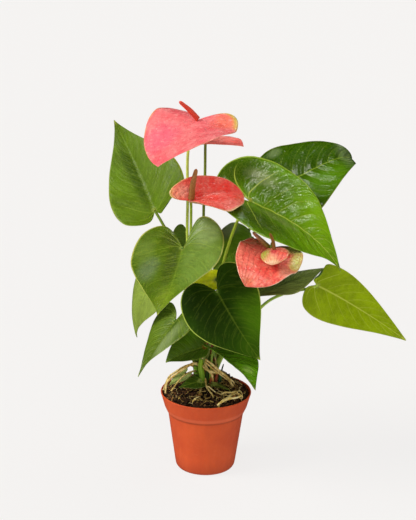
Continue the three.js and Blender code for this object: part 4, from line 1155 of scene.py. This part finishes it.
def crumbs(name, count, sizes, stretch, paint, seed, reach=47.5, rise=0.2):
    """Irregular lumps strewn over the soil, some half sunk."""
    rng = np.random.RandomState(seed)
    parts = []
    for _ in range(count):
        x, y = spot(rng, reach)
        size = rng.uniform(*sizes) * np.array([1, rng.uniform(0.5, 1), rng.uniform(0.35, 0.8)])
        size[0] *= rng.uniform(1, stretch)
        lump = ICO * (1 + rng.uniform(-0.28, 0.28, (12, 1))) * size
        spin, tilt = rng.uniform(0, math.tau), rng.uniform(-0.7, 0.7)
        turned_by = Matrix.Rotation(spin, 3, "Z") @ Matrix.Rotation(tilt, 3, "Y")
        lump = lump @ np.array(turned_by).T
        z = float(soil_height(x, y)) + rise * size[2] + rng.uniform(-0.6, 1.2)
        parts.append((lump + [x, y, z], ICO_FACES, {"tint": np.full(12, rng.uniform())}))
    return shape(name, joined(parts), paint, ["soil"], flat=True)


crumbs("soil_crumbs", 2600, (0.5, 1.5), 1.8, crumb_paint("crumbs", 0x0c0705, 0x301c0e, 0x7c5830), 11)
crumbs("bark_chips", 420, (1.2, 2.4), 2.6, crumb_paint("bark", 0x140b06, 0x482c1a, 0xb07c44), 12, 47)
straw = crumb_paint("straw", 0x8a6c34, 0xb89a54, 0xd8c488)
crumbs("straw_bits", 300, (0.4, 1.1), 2.6, straw, 13, 47, 0.6)

rng = np.random.RandomState(5)
parts = []
for _ in range(260):
    x, y = spot(rng, 46, 0.7)
    heading, bow, size = rng.uniform(0, math.tau), rng.uniform(-0.9, 0.9), rng.uniform(4, 15)
    route = []
    for step in range(5):
        z = float(soil_height(x, y)) + 1.0 + 1.4 * math.sin(step / 4 * math.pi) * rng.uniform(0.2, 1.6)
        route.append([x, y, z])
        heading += bow * 0.5
        x, y = x + size / 4 * math.cos(heading), y + size / 4 * math.sin(heading)
    if max(math.hypot(q[0], q[1]) for q in route) > 47:
        continue
    width = rng.uniform(0.16, 0.42)
    points, faces, _ = tube(route, 16, 6, lambda f: width * (1 - 0.5 * f))
    parts.append((points, faces, {"tint": np.full(len(points), rng.uniform())}))
paint = crumb_paint("fibres", 0x80602e, 0xc0a058, 0xecd89c)
shape("fibres", joined(parts), paint, ["soil"])


# Floor, light and camera

FLOOR_RADIUS, FLOOR_GLOW = 9, 0.81
bpy.ops.mesh.primitive_circle_add(vertices=64, radius=FLOOR_RADIUS, fill_type="NGON")
floor = bpy.context.object
floor.name = "floor"
paint = Paint("floor")
paint.coat = paint.mix(paint.noise(4000, 1), (0.08, 0.08, 0.08, 1), (0.09, 0.09, 0.09, 1))
floor.data.materials.append(paint.done(0.95, Specular_IOR_Level=0.0))
paint.put(paint.shader.inputs["Emission Color"], (1, 0.985, 0.975, 1))
paint.put(paint.shader.inputs["Emission Strength"], FLOOR_GLOW)
floor.visible_glossy = False


def lamp(name, kind, energy):
    data = bpy.data.lights.new(name, kind)
    data.energy = energy
    return added(name, data)


def sun(name, azimuth, elevation, strength, angle, colour, gloss=True, diffuse=True):
    """Soft light from a direction: azimuth 0 is the right, 90 the back and 180 the left."""
    thing = lamp(name, "SUN", strength)
    thing.data.angle, thing.data.color = math.radians(angle), colour
    thing.rotation_euler = (0, math.radians(90 - elevation), math.radians(azimuth))
    thing.visible_glossy, thing.visible_diffuse = gloss, diffuse


sun("key", 196, 42, 2.55, 28, (1, 0.96, 0.88))
sun("front", -88, 37, 1.2, 60, (1, 0.97, 0.91), gloss=False)
sun("side", 12, 66, 0.75, 50, (1, 0.98, 0.94), gloss=False)
sun("window_right", 18, 57, 0.55, 10, (1, 0.95, 0.84), diffuse=False)
sun("window_left", -152, 60, 0.45, 10, (1, 0.95, 0.84), diffuse=False)

# A narrow light from behind for the shaded bloom at the back
REAR_BLOOM = Vector((0.02, 0, 0.387))
rear = lamp("spot_rear", "SPOT", 5)
rear.data.spot_size, rear.data.spot_blend, rear.data.shadow_soft_size = math.radians(9), 1, 0.04
rear.location = (0.25, 0.35, 0.75)
rear.rotation_euler = (REAR_BLOOM - rear.location).to_track_quat("-Z", "Y").to_euler()

world = bpy.data.worlds.new("studio")
bpy.context.scene.world = world
world.use_nodes = True
world.node_tree.nodes["Background"].inputs[0].default_value = (1, 0.97, 0.92, 1)
world.node_tree.nodes["Background"].inputs[1].default_value = 0.24
world.cycles_visibility.glossy = False

bpy.context.scene.view_settings.view_transform = "Standard"

# The photograph's camera, fitted to the pot's ellipses
CAMERA, PITCH, ROLL, LENS = (0.0005, -1.395, 0.683), math.radians(17.2), math.radians(0.7), 90
forward = np.array([0, math.cos(PITCH), -math.sin(PITCH)])
level = np.array([1.0, 0, 0])
above = np.cross(level, forward)
right = level * math.cos(ROLL) + above * math.sin(ROLL)
up = above * math.cos(ROLL) - level * math.sin(ROLL)
lens = bpy.data.cameras.new("camera")
lens.lens, lens.sensor_width, lens.clip_end = LENS, 36, 50
camera = added("camera", lens)
camera.matrix_world = Matrix(np.array([[*right, 0], [*up, 0], [*-forward, 0], [*CAMERA, 1]]).T.tolist())
bpy.context.scene.camera = camera
